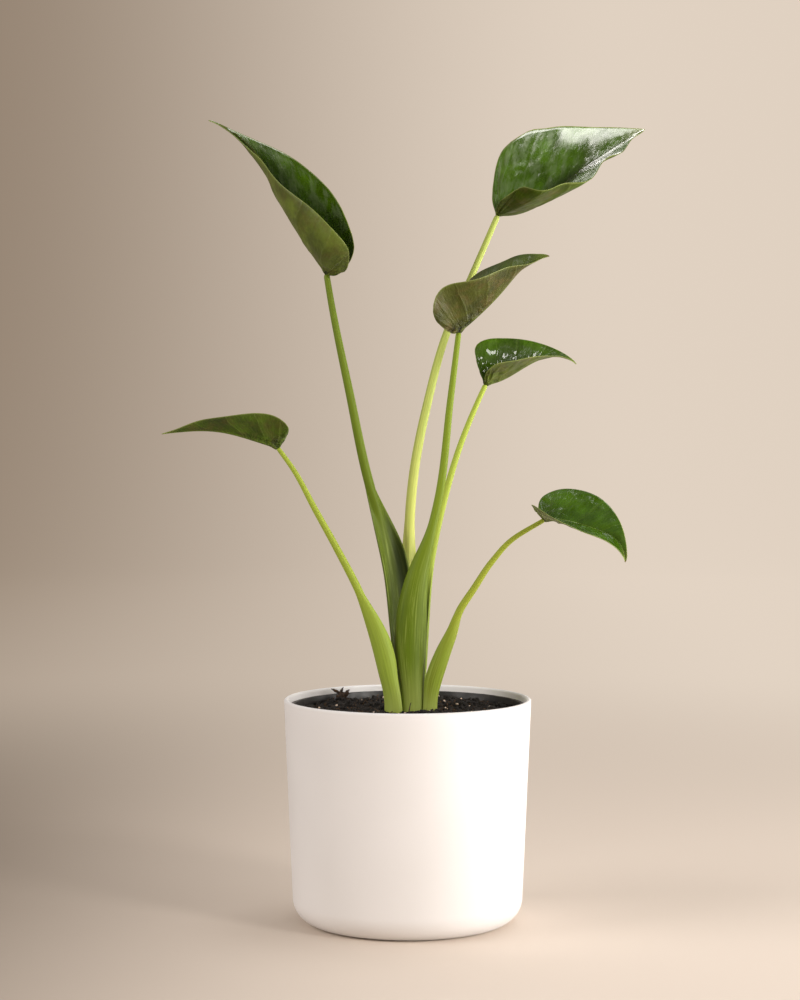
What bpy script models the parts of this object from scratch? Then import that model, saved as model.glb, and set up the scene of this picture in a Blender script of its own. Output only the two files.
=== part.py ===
"""Potted alocasia: a white cover pot, a nursery pot of soil, and six folded leaves on winged petioles.

Metres, +Z up. The origin is the centre of the cover pot's flat underside, and the front faces -Y.
"""

import math

import bpy
import numpy as np

# Cover pot
POT_RIM_RADIUS = 0.0700
POT_FOOT_RADIUS = 0.0653
POT_HEIGHT = 0.1275
POT_WALL = 0.0026
POT_LIP_RADIUS = 0.0013
POT_FOOT_ROUND = 0.0148
POT_FLOOR = 0.0036
POT_SEGMENTS = 56

# Nursery pot
INNER_RIM_RADIUS = 0.0666
INNER_FOOT_RADIUS = 0.0516
INNER_RIM_TOP = 0.1240
INNER_RIM_STEP = 0.0010
INNER_BAND = 0.0070
INNER_WALL = 0.0010
INNER_BASE = 0.0040
INNER_SEGMENTS = 48

# Soil
SOIL_TOP = 0.1202
SOIL_DOME = 0.0010
SOIL_GAP = 0.0004
SOIL_RINGS = 7
SOIL_SEGMENTS = 36
PLUG_DEPTH = 0.0150
HOLE_CLEARANCE = 0.0005
HOLE_SPARE = 0.0006
HOLE_RISE = 0.0060
HOLE_SEGMENTS = 20
GRAINS = 15

# Petioles
STALK_POINTS = 14
STALK_BACK_POINTS = 8
STALK_STATIONS = 20
STALK_CURVE_STEPS = 12
WING_EDGE = 0.0010
WING_WRAP = 82.0
WING_INNER_REACH = 0.80
SHEATH_WALL = 1.15
SHEATH_RISE = 1.15
SHEATH_TOP = 0.75

# Blades
BLADE_THICKNESS = 0.0008
MIDRIB_DEPTH = 0.0010
BLADE_COLUMNS = (0.0, 0.07, 0.28, 0.52, 0.76, 1.0)
VEINS = 8
ROWS_PER_VEIN = 3
PILLOW_HEIGHT = 0.0005
DRIP_SPAN = 0.45
TIP_HALF_WIDTH = 0.0024
FOLD_POWER = 1.3
FOLD_STEPS = 24
VEIN_BOW = 0.9
EVEN_ROWS = 0.10
EVEN_STEPS = (-1.0, -0.5, 0.0, 0.5, 1.0)

# Outline of half a blade: where its vein leaves the midrib, how far ahead it ends (both as shares of the
# length) and how far out (as a share of the half width), from the notch round the lobe to the tip.
OUTLINE = (
    (0.00, -0.035, 0.00),
    (0.00, -0.150, 0.20),
    (0.00, -0.215, 0.45),
    (0.00, -0.190, 0.72),
    (0.00, -0.080, 0.93),
    (0.02, 0.080, 1.00),
    (0.10, 0.250, 0.97),
    (0.22, 0.420, 0.84),
    (0.38, 0.590, 0.62),
    (0.56, 0.740, 0.38),
    (0.74, 0.865, 0.18),
    (0.89, 0.955, 0.06),
    (1.00, 1.000, 0.00),
)

# Each leaf. Lengths are metres and angles degrees.
# path: the petiole's line from the soil to the blade. radii: the petiole's at the soil and at the blade.
# foot: half widths of its foot, across and along the way its sheath opens. sheath: the height where the
# wings end above, the height where they are widest, their half width there, and the way they open.
# at: the place where the petiole meets the blade. joint: how far under the upper side the petiole ends.
# heading, sweep, pitch and roll: the midrib's direction, its turn, its slope from base to tip, and its tilt.
# length and width: of the midrib, and of half the blade. lobe: how long and how wide the two lobes are, and
# cup how far they hang. full: how soon the outline narrows. drip: how much it narrows before the tip, and
# where that begins. right and left: slopes of each half, beside the midrib and then at the margin, and each
# of them at the lobe, the middle and the tip. wave: the waves' height on the right and on the left, their
# phase and their number.
LEAVES = {
    "a": {
        "path": ((-0.0024, 0.0034, 0.1220), (-0.0049, 0.0060, 0.1680), (-0.0094, 0.0075, 0.2050),
                 (-0.0153, 0.0070, 0.2280), (-0.0209, 0.0065, 0.2460), (-0.0332, 0.0065, 0.3020),
                 (-0.0435, 0.0080, 0.3530)),
        "radii": (0.0034, 0.0017), "foot": (0.0048, 0.0030), "sheath": (0.250, 0.200, 0.0086, -55),
        "at": (-0.0459, 0.0080, 0.3688), "joint": 0.0029,
        "heading": 152, "sweep": -5, "pitch": (48, 61, 47, 15), "roll": (-34, -41),
        "length": 0.1236, "width": 0.0386, "lobe": (0.44, 1.14), "cup": -29,
        "full": 1.10, "drip": (0.97, 0.43), "wave": (0.0003, 0.0010, 1.97, 4.7),
        "right": ((52, 63, 30), (112, 98, 25)), "left": ((100, 47, 19), (144, 106, 22)),
    },
    "b": {
        "path": ((0.0026, 0.0098, 0.1220), (0.0024, 0.0140, 0.1700), (0.0008, 0.0160, 0.2150),
                 (0.0035, 0.0175, 0.2537), (0.0118, 0.0195, 0.2963), (0.0220, 0.0220, 0.3334),
                 (0.0357, 0.0245, 0.3648)),
        "radii": (0.0033, 0.0016), "foot": (0.0042, 0.0030), "sheath": (0.228, 0.180, 0.0052, -90),
        "at": (0.0521, 0.0260, 0.4029), "joint": 0.0017,
        "heading": 28, "sweep": -10, "pitch": (-4, 37, 32, 29), "roll": (41, 48),
        "length": 0.1092, "width": 0.0454, "lobe": (0.37, 1.09), "cup": -16,
        "full": 0.95, "drip": (0.01, 0.38), "wave": (0.0018, 0.0004, -1.74, 4.9),
        "right": ((75, 42, 53), (81, 62, 28)), "left": ((49, 60, 34), (73, 77, 47)),
    },
    "c": {
        "path": ((0.0029, -0.0066, 0.1220), (0.0019, -0.0080, 0.1610), (0.0058, -0.0085, 0.1980),
                 (0.0126, -0.0083, 0.2210), (0.0169, -0.0080, 0.2390), (0.0240, -0.0070, 0.2965)),
        "radii": (0.0030, 0.0015), "foot": (0.0057, 0.0028), "sheath": (0.228, 0.162, 0.0092, 95),
        "at": (0.0284, -0.0060, 0.3358), "joint": 0.0026,
        "heading": -6, "sweep": -1, "pitch": (38, 44, 47, 5), "roll": (11, 36),
        "length": 0.0668, "width": 0.0318, "lobe": (0.64, 1.08), "cup": -42,
        "full": 1.02, "drip": (0.00, 0.35), "wave": (0.0013, 0.0010, 1.53, 3.9),
        "right": ((55, 48, 0), (64, 58, 5)), "left": ((55, 31, 50), (45, 14, 56)),
    },
    "d": {
        "path": ((0.0064, 0.0034, 0.1220), (0.0080, 0.0062, 0.1450), (0.0131, 0.0090, 0.2040),
                 (0.0205, 0.0102, 0.2385), (0.0309, 0.0115, 0.2731), (0.0404, 0.0130, 0.2963)),
        "radii": (0.0026, 0.0014), "foot": (0.0034, 0.0024), "sheath": (0.205, 0.160, 0.0042, -140),
        "at": (0.0448, 0.0140, 0.3062), "joint": 0.0017,
        "heading": 23, "sweep": -6, "pitch": (8, 29, 13, -43), "roll": (24, 35),
        "length": 0.0606, "width": 0.0234, "lobe": (0.38, 1.08), "cup": 17,
        "full": 1.23, "drip": (0.00, 0.31), "wave": (0.0002, 0.0002, 3.70, 4.2),
        "right": ((50, 52, 33), (52, 45, -18)), "left": ((61, 60, 30), (68, 40, 38)),
    },
    "e": {
        "path": ((-0.0080, -0.0078, 0.1220), (-0.0122, -0.0080, 0.1440), (-0.0205, -0.0092, 0.1730),
                 (-0.0283, -0.0100, 0.1910), (-0.0399, -0.0110, 0.2135), (-0.0520, -0.0120, 0.2355),
                 (-0.0642, -0.0120, 0.2579)),
        "radii": (0.0028, 0.0012), "foot": (0.0052, 0.0026), "sheath": (0.190, 0.155, 0.0064, 62),
        "at": (-0.0730, -0.0120, 0.2710), "joint": 0.0014,
        "heading": 182, "sweep": -6, "pitch": (18, 15, -1, -12), "roll": (7, 1),
        "length": 0.0662, "width": 0.0206, "lobe": (0.28, 1.03), "cup": 0,
        "full": 1.20, "drip": (0.10, 0.32), "wave": (0.0009, 0.0009, 0.06, 3.3),
        "right": ((61, 38, 36), (54, 20, 31)), "left": ((48, 44, 29), (48, 37, 20)),
    },
    "f": {
        "path": ((0.0126, -0.0066, 0.1220), (0.0200, -0.0095, 0.1530), (0.0250, -0.0110, 0.1665),
                 (0.0283, -0.0120, 0.1765), (0.0375, -0.0140, 0.1915), (0.0476, -0.0160, 0.2068),
                 (0.0590, -0.0180, 0.2192)),
        "radii": (0.0028, 0.0012), "foot": (0.0042, 0.0025), "sheath": (0.180, 0.142, 0.0054, 118),
        "at": (0.0769, -0.0200, 0.2309), "joint": 0.0019,
        "heading": -13, "sweep": -18, "pitch": (-1, -15, -26, -94), "roll": (10, 27),
        "length": 0.0569, "width": 0.0273, "lobe": (0.56, 0.91), "cup": -4,
        "full": 1.08, "drip": (0.01, 0.34), "wave": (0.0001, 0.0001, 2.30, 5.0),
        "right": ((70, 8, 36), (97, 20, 18)), "left": ((21, 34, 74), (39, 29, 82)),
    },
}

# Colour of each petiole; the blades share one green.
STALK_COLOURS = {
    "a": (0.10, 0.19, 0.02),
    "b": (0.55, 0.62, 0.13),
    "c": (0.19, 0.29, 0.02),
    "d": (0.24, 0.34, 0.04),
    "e": (0.42, 0.50, 0.05),
    "f": (0.30, 0.40, 0.05),
}
BLADE_COLOUR = (0.045, 0.10, 0.008)


def clear_scene():
    for obj in list(bpy.data.objects):
        bpy.data.objects.remove(obj, do_unlink=True)


def material(name, colour, roughness):
    made = bpy.data.materials.new(name)
    made.use_nodes = True
    shader = made.node_tree.nodes["Principled BSDF"]
    shader.inputs["Base Color"].default_value = (*colour, 1.0)
    shader.inputs["Roughness"].default_value = roughness
    shader.inputs["Metallic"].default_value = 0.0
    return made


def mesh_object(name, points, faces, look):
    mesh = bpy.data.meshes.new(name)
    mesh.from_pydata([tuple(p) for p in points], [], faces)
    mesh.materials.append(look)
    mesh.shade_smooth()
    mesh.set_sharp_from_angle(angle=math.radians(50))
    obj = bpy.data.objects.new(name, mesh)
    bpy.context.scene.collection.objects.link(obj)
    return obj


def as_cutter(obj):
    obj.hide_render = True
    obj.display_type = "WIRE"
    return obj


def arc(centre, radius, start, end, steps):
    """Points of an arc in the XZ plane, angles in degrees."""
    angles = np.radians(np.linspace(start, end, steps + 1))
    return [(centre[0] + radius * math.cos(a), centre[1] + radius * math.sin(a)) for a in angles]


def turned(name, profile, segments, look):
    """A solid of revolution. The profile is (radius, height), from the axis and back to it."""
    mesh = bpy.data.meshes.new(name)
    edges = [(i, i + 1) for i in range(len(profile) - 1)]
    mesh.from_pydata([(r, 0.0, z) for r, z in profile], edges, [])
    mesh.materials.append(look)
    obj = bpy.data.objects.new(name, mesh)
    bpy.context.scene.collection.objects.link(obj)
    screw = obj.modifiers.new("Turn", "SCREW")
    screw.axis = "Z"
    screw.steps = screw.render_steps = segments
    screw.use_merge_vertices = True
    screw.merge_threshold = 0.00005
    screw.use_smooth_shade = True
    return obj


def smooth_values(values, shares):
    """Values at equal spacing, read at shares from 0 to 1 along a Catmull-Rom curve."""
    given = np.asarray(values, float)
    given = given[:, None] if given.ndim == 1 else given
    last = len(given) - 1
    at = np.clip(np.asarray(shares, float) * last, 0, last - 1e-9)
    i = at.astype(int)
    f = (at - i)[:, None]
    ends = np.vstack([2 * given[0] - given[1], given, 2 * given[-1] - given[-2]])
    p0, p1, p2, p3 = ends[i], ends[i + 1], ends[i + 2], ends[i + 3]
    return 0.5 * (
        2 * p1 + (p2 - p0) * f + (2 * p0 - 5 * p1 + 4 * p2 - p3) * f**2 + (3 * p1 - p0 - 3 * p2 + p3) * f**3
    )


def unit(vectors):
    return vectors / np.linalg.norm(vectors, axis=-1, keepdims=True)


def ease(x):
    x = np.clip(x, 0.0, 1.0)
    return x * x * (3 - 2 * x)


def cover_pot():
    white = material("pot_white", (0.86, 0.84, 0.80), 0.55)
    lip = (POT_RIM_RADIUS - POT_LIP_RADIUS, POT_HEIGHT - POT_LIP_RADIUS)
    inner_foot = POT_FOOT_RADIUS - POT_WALL
    foot = (POT_FOOT_RADIUS - POT_FOOT_ROUND, POT_FOOT_ROUND)
    inner_round = POT_FOOT_ROUND - POT_WALL
    profile = [(0.0, POT_FLOOR)]
    profile += arc((inner_foot - inner_round, POT_FLOOR + inner_round), inner_round, -90, 0, 5)
    profile += arc(lip, POT_LIP_RADIUS, 180, 0, 6)
    profile += arc(foot, POT_FOOT_ROUND, 0, -90, 7)
    profile += [(0.0, 0.0)]
    return turned("cover_pot", profile, POT_SEGMENTS, white)


def inner_radius(z):
    """Outer radius of the nursery pot's wall at a height."""
    share = (z - INNER_BASE) / (INNER_RIM_TOP - INNER_BASE)
    return INNER_FOOT_RADIUS + (INNER_RIM_RADIUS - INNER_RIM_STEP - INNER_FOOT_RADIUS) * share


def grower_pot():
    black = material("nursery_black", (0.012, 0.012, 0.012), 0.45)
    floor = INNER_BASE + INNER_WALL
    band = INNER_RIM_TOP - INNER_BAND
    profile = [
        (0.0, floor),
        (inner_radius(floor) - INNER_WALL, floor),
        (inner_radius(INNER_RIM_TOP) - INNER_WALL, INNER_RIM_TOP - 0.0003),
        (inner_radius(INNER_RIM_TOP) - INNER_WALL + 0.0003, INNER_RIM_TOP),
        (INNER_RIM_RADIUS - 0.0003, INNER_RIM_TOP),
        (INNER_RIM_RADIUS, INNER_RIM_TOP - 0.0003),
        (INNER_RIM_RADIUS - 0.0003, band),
        (inner_radius(band), band - 0.0004),
        (inner_radius(INNER_BASE) + 0.0002, INNER_BASE + 0.0015),
        (inner_radius(INNER_BASE) - 0.0012, INNER_BASE),
        (0.0, INNER_BASE),
    ]
    return turned("grower_pot", profile, INNER_SEGMENTS, black)


def soil_height(x, y):
    """Height of the soil's top: a low dome with uneven ground."""
    r = math.hypot(x, y) / INNER_RIM_RADIUS
    rough = 0.0007 * math.sin(190 * x + 60 * y + 0.4) + 0.0006 * math.sin(240 * y - 90 * x + 1.3)
    rough += 0.0004 * math.sin(420 * x + 0.8) * math.sin(390 * y + 2.1)
    return SOIL_TOP + SOIL_DOME * (1 - r * r) + rough


def soil_body(look):
    """The soil without its holes: rings of points over the top, then the side and the bottom."""
    floor = INNER_BASE + INNER_WALL + SOIL_GAP
    top_radius = inner_radius(SOIL_TOP) - INNER_WALL - SOIL_GAP - 0.0004
    foot_radius = inner_radius(floor) - INNER_WALL - SOIL_GAP
    angles = [2 * math.pi * k / SOIL_SEGMENTS for k in range(SOIL_SEGMENTS)]
    points = [(0.0, 0.0, soil_height(0, 0))]
    for ring in range(1, SOIL_RINGS + 1):
        r = top_radius * ring / SOIL_RINGS
        for a in angles:
            x, y = r * math.cos(a), r * math.sin(a)
            points.append((x, y, soil_height(x, y) - 0.0010 * (ring == SOIL_RINGS)))
    points += [(foot_radius * math.cos(a), foot_radius * math.sin(a), floor) for a in angles]
    points.append((0.0, 0.0, floor))
    n = SOIL_SEGMENTS
    faces = [(0, 1 + k, 1 + (k + 1) % n) for k in range(n)]
    for ring in range(SOIL_RINGS):
        low, high = 1 + ring * n, 1 + (ring + 1) * n
        faces += [(low + k, high + k, high + (k + 1) % n, low + (k + 1) % n) for k in range(n)]
    last = 1 + SOIL_RINGS * n
    faces += [(last + (k + 1) % n, last + k, len(points) - 1) for k in range(n)]
    return mesh_object("soil", points, faces, look)


def lump(name, place, size, turn):
    """A grain that stands half out of the soil."""
    bpy.ops.mesh.primitive_ico_sphere_add(subdivisions=1, radius=1.0, location=(0, 0, 0))
    obj = bpy.context.object
    obj.name = name
    rot = np.array([[math.cos(turn), -math.sin(turn), 0], [math.sin(turn), math.cos(turn), 0], [0, 0, 1]])
    for v in obj.data.vertices:
        p = np.array(v.co) * size
        v.co = rot @ p + np.array(place)
    return as_cutter(obj)


def soil_lumps():
    """Perlite grains and crumbs spread evenly round the plant, and one chip of bark near the back rim."""
    golden = math.radians(137.5)
    lumps = []
    for k in range(GRAINS):
        r = 0.020 + 0.038 * math.sqrt((k + 0.5) / GRAINS)
        a = 0.9 + golden * k
        x, y = r * math.cos(a), r * math.sin(a)
        size = 0.0017 + 0.0011 * ((k * 7) % 5) / 4
        place = (x, y, soil_height(x, y) + 0.0002)
        lumps.append(lump(f"grain_{k}", place, np.array([size * 1.3, size, size * 0.8]), a))
    chip_x, chip_y = -0.0385, 0.0440
    place = (chip_x, chip_y, soil_height(chip_x, chip_y) + 0.0020)
    lumps.append(lump("bark", place, np.array([0.0036, 0.0019, 0.0042]), 0.5))
    return lumps


def opening_axes(leaf):
    turn = math.radians(leaf["sheath"][3])
    return np.array([math.cos(turn), math.sin(turn), 0.0]), np.array([-math.sin(turn), math.cos(turn), 0.0])


def hole_cutter(key, leaf):
    """A plain oval hole with clearance round the petiole's foot."""
    across, along = (size + HOLE_CLEARANCE for size in leaf["foot"])
    opens, side = opening_axes(leaf)
    foot = np.array(leaf["path"][0])
    low, high = SOIL_TOP - PLUG_DEPTH - HOLE_SPARE, SOIL_TOP + HOLE_RISE
    n = HOLE_SEGMENTS
    turns = [2 * math.pi * k / n for k in range(n)]
    ring = [foot + side * across * math.cos(t) + opens * along * math.sin(t) for t in turns]
    points = [(p[0], p[1], low) for p in ring] + [(p[0], p[1], high) for p in ring]
    faces = [tuple(range(n)), tuple(range(2 * n - 1, n - 1, -1))]
    faces += [(k, n + k, n + (k + 1) % n, (k + 1) % n) for k in range(n)]
    cutter = mesh_object(f"hole_{key}", points, faces, material("cutter", (0.5, 0.5, 0.5), 1.0))
    return as_cutter(cutter)


def soil():
    body = soil_body(material("soil_dark", (0.020, 0.013, 0.009), 0.95))
    holes = [hole_cutter(key, leaf) for key, leaf in LEAVES.items()]
    for operation, parts in (("UNION", soil_lumps()), ("DIFFERENCE", holes)):
        for part in parts:
            change = body.modifiers.new(part.name, "BOOLEAN")
            change.operation = operation
            change.object = part
            change.solver = "EXACT"
    return body


def blade_midrib(leaf, count=41):
    """Stations along the midrib, with their points, forward, up and sideways directions."""
    s = np.linspace(0, 1, count)
    pitch = np.radians(smooth_values(leaf["pitch"], s)[:, 0])
    heading = np.radians(leaf["heading"] + leaf["sweep"] * s)
    roll = np.radians(leaf["roll"][0] + (leaf["roll"][1] - leaf["roll"][0]) * s)[:, None]
    flat = np.stack([np.cos(heading), np.sin(heading)], 1)
    forward = np.column_stack([flat * np.cos(pitch)[:, None], np.sin(pitch)])
    upright = np.column_stack([-flat * np.sin(pitch)[:, None], np.cos(pitch)])
    level = np.cross(forward, upright)
    steps = (forward[1:] + forward[:-1]) / 2 * leaf["length"] / (count - 1)
    points = np.array(leaf["at"]) + np.vstack([np.zeros(3), np.cumsum(steps, 0)])
    up = upright * np.cos(roll) + level * np.sin(roll)
    side = level * np.cos(roll) - upright * np.sin(roll)
    return s, points, forward, up, side


def read_along(values, stations, at):
    """Directions or points given at stations, read at other shares."""
    return np.stack([np.interp(at, stations, values[:, k]) for k in range(3)], 1)


def blade_outline(leaf, rows):
    """Where each row leaves the midrib and how far ahead it ends, as shares of the length; how far out."""
    root, ahead, out = smooth_values(OUTLINE, rows).T
    lobe_length, lobe_width = leaf["lobe"]
    drip, drip_from = leaf["drip"]
    out = np.maximum(out, 0) ** (1 + (leaf["full"] - 1) * np.clip(ahead / 0.3, 0, 1))
    out = out * (1 + (lobe_width - 1) * (1 - ease((ahead + 0.05) / 0.3)))
    out = out * leaf["width"] * (1 - drip * ease((ahead - drip_from) / DRIP_SPAN))
    least = TIP_HALF_WIDTH * np.sqrt(np.clip(1 - ahead, 0, 1)) * ease((ahead - 0.4) / 0.3)
    ahead = np.where(ahead < 0, ahead * lobe_length, ahead)
    return np.clip(root, 0, 1), ahead, np.maximum(out, least)


def folded(leaf, sign, rows, columns):
    """Run and rise of each row's section, as shares of its reach; its slope changes towards the margin."""
    inner, outer = leaf["right"] if sign > 0 else leaf["left"]
    slope_in = np.radians(smooth_values(inner, rows))
    slope_out = np.radians(smooth_values(outer, rows))
    fine = np.linspace(0, 1, FOLD_STEPS)
    slope = slope_in + (slope_out - slope_in) * fine**FOLD_POWER
    sections = []
    for parts in (np.cos(slope), np.sin(slope)):
        middle = (parts[:, 1:] + parts[:, :-1]) / 2 / (FOLD_STEPS - 1)
        total = np.cumsum(np.column_stack([np.zeros(len(rows)), middle]), 1)
        sections.append(np.stack([np.interp(columns, fine, row) for row in total]))
    return sections


def folded_half(leaf, sign, rows, columns):
    """One half blade, folded and still smooth, as a grid of points; sign is 1 on the right of the heading."""
    s, rib, forward, up, side = blade_midrib(leaf)
    root, ahead, out = blade_outline(leaf, rows)
    start = read_along(rib, s, root)
    up_dir, side_dir = read_along(up, s, root), read_along(side, s, root)
    cup = math.radians(leaf["cup"])
    lobe_axis = read_along(forward, s, root) * math.cos(cup) - up_dir * math.sin(cup)
    reach = ((ahead - root) * leaf["length"])[:, None]
    spine = np.where(reach < 0, lobe_axis * reach, read_along(rib, s, np.clip(ahead, 0, 1)) - start)
    run, rise = folded(leaf, sign, rows, columns)
    grid = start[:, None] + spine[:, None] * (columns**VEIN_BOW)[None, :, None]
    grid = grid + (sign * run * out[:, None])[..., None] * side_dir[:, None]
    grid = grid + (rise * out[:, None])[..., None] * up_dir[:, None]
    return grid


def blade_half(leaf, sign, rows, columns):
    """Upper side of one half blade: its folded shape, evened out towards the margin, with its relief."""
    window = np.minimum(EVEN_ROWS, np.minimum(rows, 1 - rows))
    grid = folded_half(leaf, sign, rows, columns)
    nearby = [folded_half(leaf, sign, rows + window * step, columns) for step in EVEN_STEPS]
    grid = grid + (np.mean(nearby, axis=0) - grid) * columns[None, :, None]
    out = blade_outline(leaf, rows)[2]
    return grid + relief(leaf, sign, rows, columns, out)[..., None] * grid_normals(grid, sign)


def relief(leaf, sign, rows, columns, out):
    """Pillows between the veins, and waves that grow towards the margin."""
    share = np.minimum(out / leaf["width"] * 2.5, 1.0)[:, None]
    pillow = PILLOW_HEIGHT * np.sin(math.pi * VEINS * rows)[:, None] ** 2 * np.sin(math.pi * columns)[None, :]
    right_height, left_height, phase, count = leaf["wave"]
    height = right_height if sign > 0 else left_height
    turn = 2 * math.pi * count * rows + phase + sign * math.pi / 2
    wave = height * np.sin(turn)[:, None] * columns[None, :] ** 2
    return (pillow + wave) * share


def grid_normals(grid, sign):
    """Unit normals of a grid on its upper side."""
    normal = sign * np.cross(np.gradient(grid, axis=1), np.gradient(grid, axis=0))
    size = np.linalg.norm(normal, axis=-1, keepdims=True)
    normal = np.where(size > 1e-12, normal / np.maximum(size, 1e-12), 0.0)
    normal[0], normal[-1] = normal[1], normal[-2]
    return unit(normal + 1e-9)


def blade(key, leaf, look):
    """A closed blade: the upper side, the underside a thickness below it, and the rim between them."""
    rows = np.linspace(0, 1, VEINS * ROWS_PER_VEIN + 1)
    columns = np.array(BLADE_COLUMNS)
    last_row, last_column = len(rows) - 1, len(columns) - 1
    root = blade_outline(leaf, rows)[0]
    fan = int(np.sum(root < 0.004))
    stations, _, _, up, _ = blade_midrib(leaf)
    keel_up = read_along(up, stations, root)
    grids = {sign: blade_half(leaf, sign, rows, columns) for sign in (1, -1)}
    points, lower, rib_ids, halves = [], [], [], {}

    def add(point, down, depth):
        points.append(point)
        lower.append(point - down * depth)
        return len(points) - 1

    for i in range(len(rows)):
        if 0 < i < fan:
            rib_ids.append(rib_ids[0])
            continue
        depth = BLADE_THICKNESS + MIDRIB_DEPTH * (1 - root[i]) ** 0.7
        rib_ids.append(add(grids[1][i, 0], keel_up[i], depth))
    for sign, grid in grids.items():
        normals = grid_normals(grid, sign)
        normals[0] = keel_up[0]
        ids = np.zeros(grid.shape[:2], int)
        for i in range(len(rows)):
            ids[i, 0] = rib_ids[i]
            for j in range(1, len(columns)):
                if i == last_row:
                    ids[i, j] = rib_ids[i]
                elif i == 0 and sign < 0:
                    ids[i, j] = halves[1][0, j]
                else:
                    ids[i, j] = add(grid[i, j], normals[i, j], BLADE_THICKNESS)
        halves[sign] = ids

    count = len(points)
    faces = []
    for sign, ids in halves.items():
        for i in range(last_row):
            for j in range(last_column):
                a, b, c, d = (int(v) for v in (ids[i, j], ids[i, j + 1], ids[i + 1, j + 1], ids[i + 1, j]))
                for tri in ((a, b, c), (a, c, d)):
                    if len(set(tri)) < 3:
                        continue
                    tri = tri if sign > 0 else tri[::-1]
                    faces += [tri, tuple(v + count for v in tri[::-1])]
    rim = [int(v) for v in halves[1][:, -1]] + [int(v) for v in halves[-1][-2:0:-1, -1]]
    for a, b in zip(rim, rim[1:] + rim[:1]):
        faces += [(b, a, a + count), (b, a + count, b + count)]
    return mesh_object(f"blade_{key}", points + lower, faces, look)


def petiole_line(leaf):
    """Points up the petiole: straight in the soil, then through its path, and ending just under the blade."""
    up, at, last = blade_midrib(leaf)[3][0], np.array(leaf["at"]), np.array(leaf["path"][-1])
    down = unit(unit(last - at) - up)
    tip = at + down * leaf["joint"] / -(down @ up)
    knots = np.vstack([leaf["path"], tip])
    z = knots[:, 2]
    slopes = np.gradient(knots, z, axis=0)
    slopes[0] = (0, 0, 1)
    dense = [knots[0] - np.array([0, 0, knots[0][2] - SOIL_TOP + PLUG_DEPTH])]
    for i in range(len(knots) - 1):
        step = z[i + 1] - z[i]
        for f in np.linspace(0, 1, STALK_CURVE_STEPS, endpoint=i == len(knots) - 2):
            place = (1 + 2 * f) * (1 - f) ** 2 * knots[i] + f * f * (3 - 2 * f) * knots[i + 1]
            dense.append(place + step * (f * (1 - f) ** 2 * slopes[i] - f * f * (1 - f) * slopes[i + 1]))
    dense = np.array(dense)
    travelled = np.concatenate([[0.0], np.cumsum(np.linalg.norm(np.diff(dense, axis=0), axis=1))])
    return read_along(dense, travelled, np.linspace(0, travelled[-1], STALK_STATIONS))


def petiole_section(leaf, z):
    """Outline of the petiole at a height: an oval that opens into a crescent with thin wing edges."""
    ends, widest, half_width, _ = leaf["sheath"]
    low, high = leaf["radii"]
    up_share = min(max((z - SOIL_TOP) / (leaf["at"][2] - SOIL_TOP), 0.0), 1.0)
    round_radius = low + (high - low) * up_share**1.4
    foot = 1 - ease((z - SOIL_TOP) / (widest - SOIL_TOP))
    across, along = (round_radius + (size - round_radius) * foot for size in leaf["foot"])
    rising = ease((z - SOIL_TOP) / (widest - SOIL_TOP) * SHEATH_RISE)
    opened = rising * ease((ends - z) / (ends - widest)) ** SHEATH_TOP
    reach = across + (half_width - across) * opened
    wrap = math.radians(90 + (WING_WRAP - 90) * opened)
    thick = 2 * along * (1 - opened) + SHEATH_WALL * round_radius * opened
    points = []
    for q in np.linspace(-1, 1, STALK_BACK_POINTS):
        bow = 1 - math.cos(q * wrap)
        points.append((reach * math.sin(q * wrap), bow * (reach * opened + along * (1 - opened)) - along))
    for q in np.linspace(WING_INNER_REACH, -WING_INNER_REACH, STALK_POINTS - STALK_BACK_POINTS):
        wall = WING_EDGE + (thick - WING_EDGE) * (1 - q * q)
        closed = (across * math.sin(q * wrap), along * (1 + math.cos(q * wrap)))
        width = (reach - (WING_EDGE + wall) / 2) * math.sin(q * wrap)
        crescent = (width, reach - (reach - wall) * math.cos(q * wrap))
        x, y = (c * (1 - opened) + o * opened for c, o in zip(closed, crescent))
        points.append((x, y - along))
    return points


def petiole(key, leaf, look):
    line = petiole_line(leaf)
    forward = unit(np.gradient(line, axis=0))
    opens, _ = opening_axes(leaf)
    along = unit(opens - forward * (forward @ opens)[:, None])
    across = np.cross(forward, along)
    points = []
    for centre, o, n in zip(line, along, across):
        points += [centre + n * x + o * y for x, y in petiole_section(leaf, centre[2])]
    count, rings = STALK_POINTS, len(line)
    faces = [tuple(range(count)), tuple(range(count * rings - 1, count * (rings - 1) - 1, -1))]
    for i in range(rings - 1):
        for k in range(count):
            a, b = i * count + k, i * count + (k + 1) % count
            faces.append((a, a + count, b + count, b))
    return mesh_object(f"petiole_{key}", points, faces, look)


def main():
    clear_scene()
    cover_pot()
    grower_pot()
    soil()
    for key, leaf in LEAVES.items():
        petiole(key, leaf, material(f"petiole_{key}", STALK_COLOURS[key], 0.40))
        blade(key, leaf, material(f"blade_{key}", BLADE_COLOUR, 0.30))


main()
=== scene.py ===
import math

import bpy
import numpy as np
from mathutils import Euler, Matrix, Quaternion, Vector, noise


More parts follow.
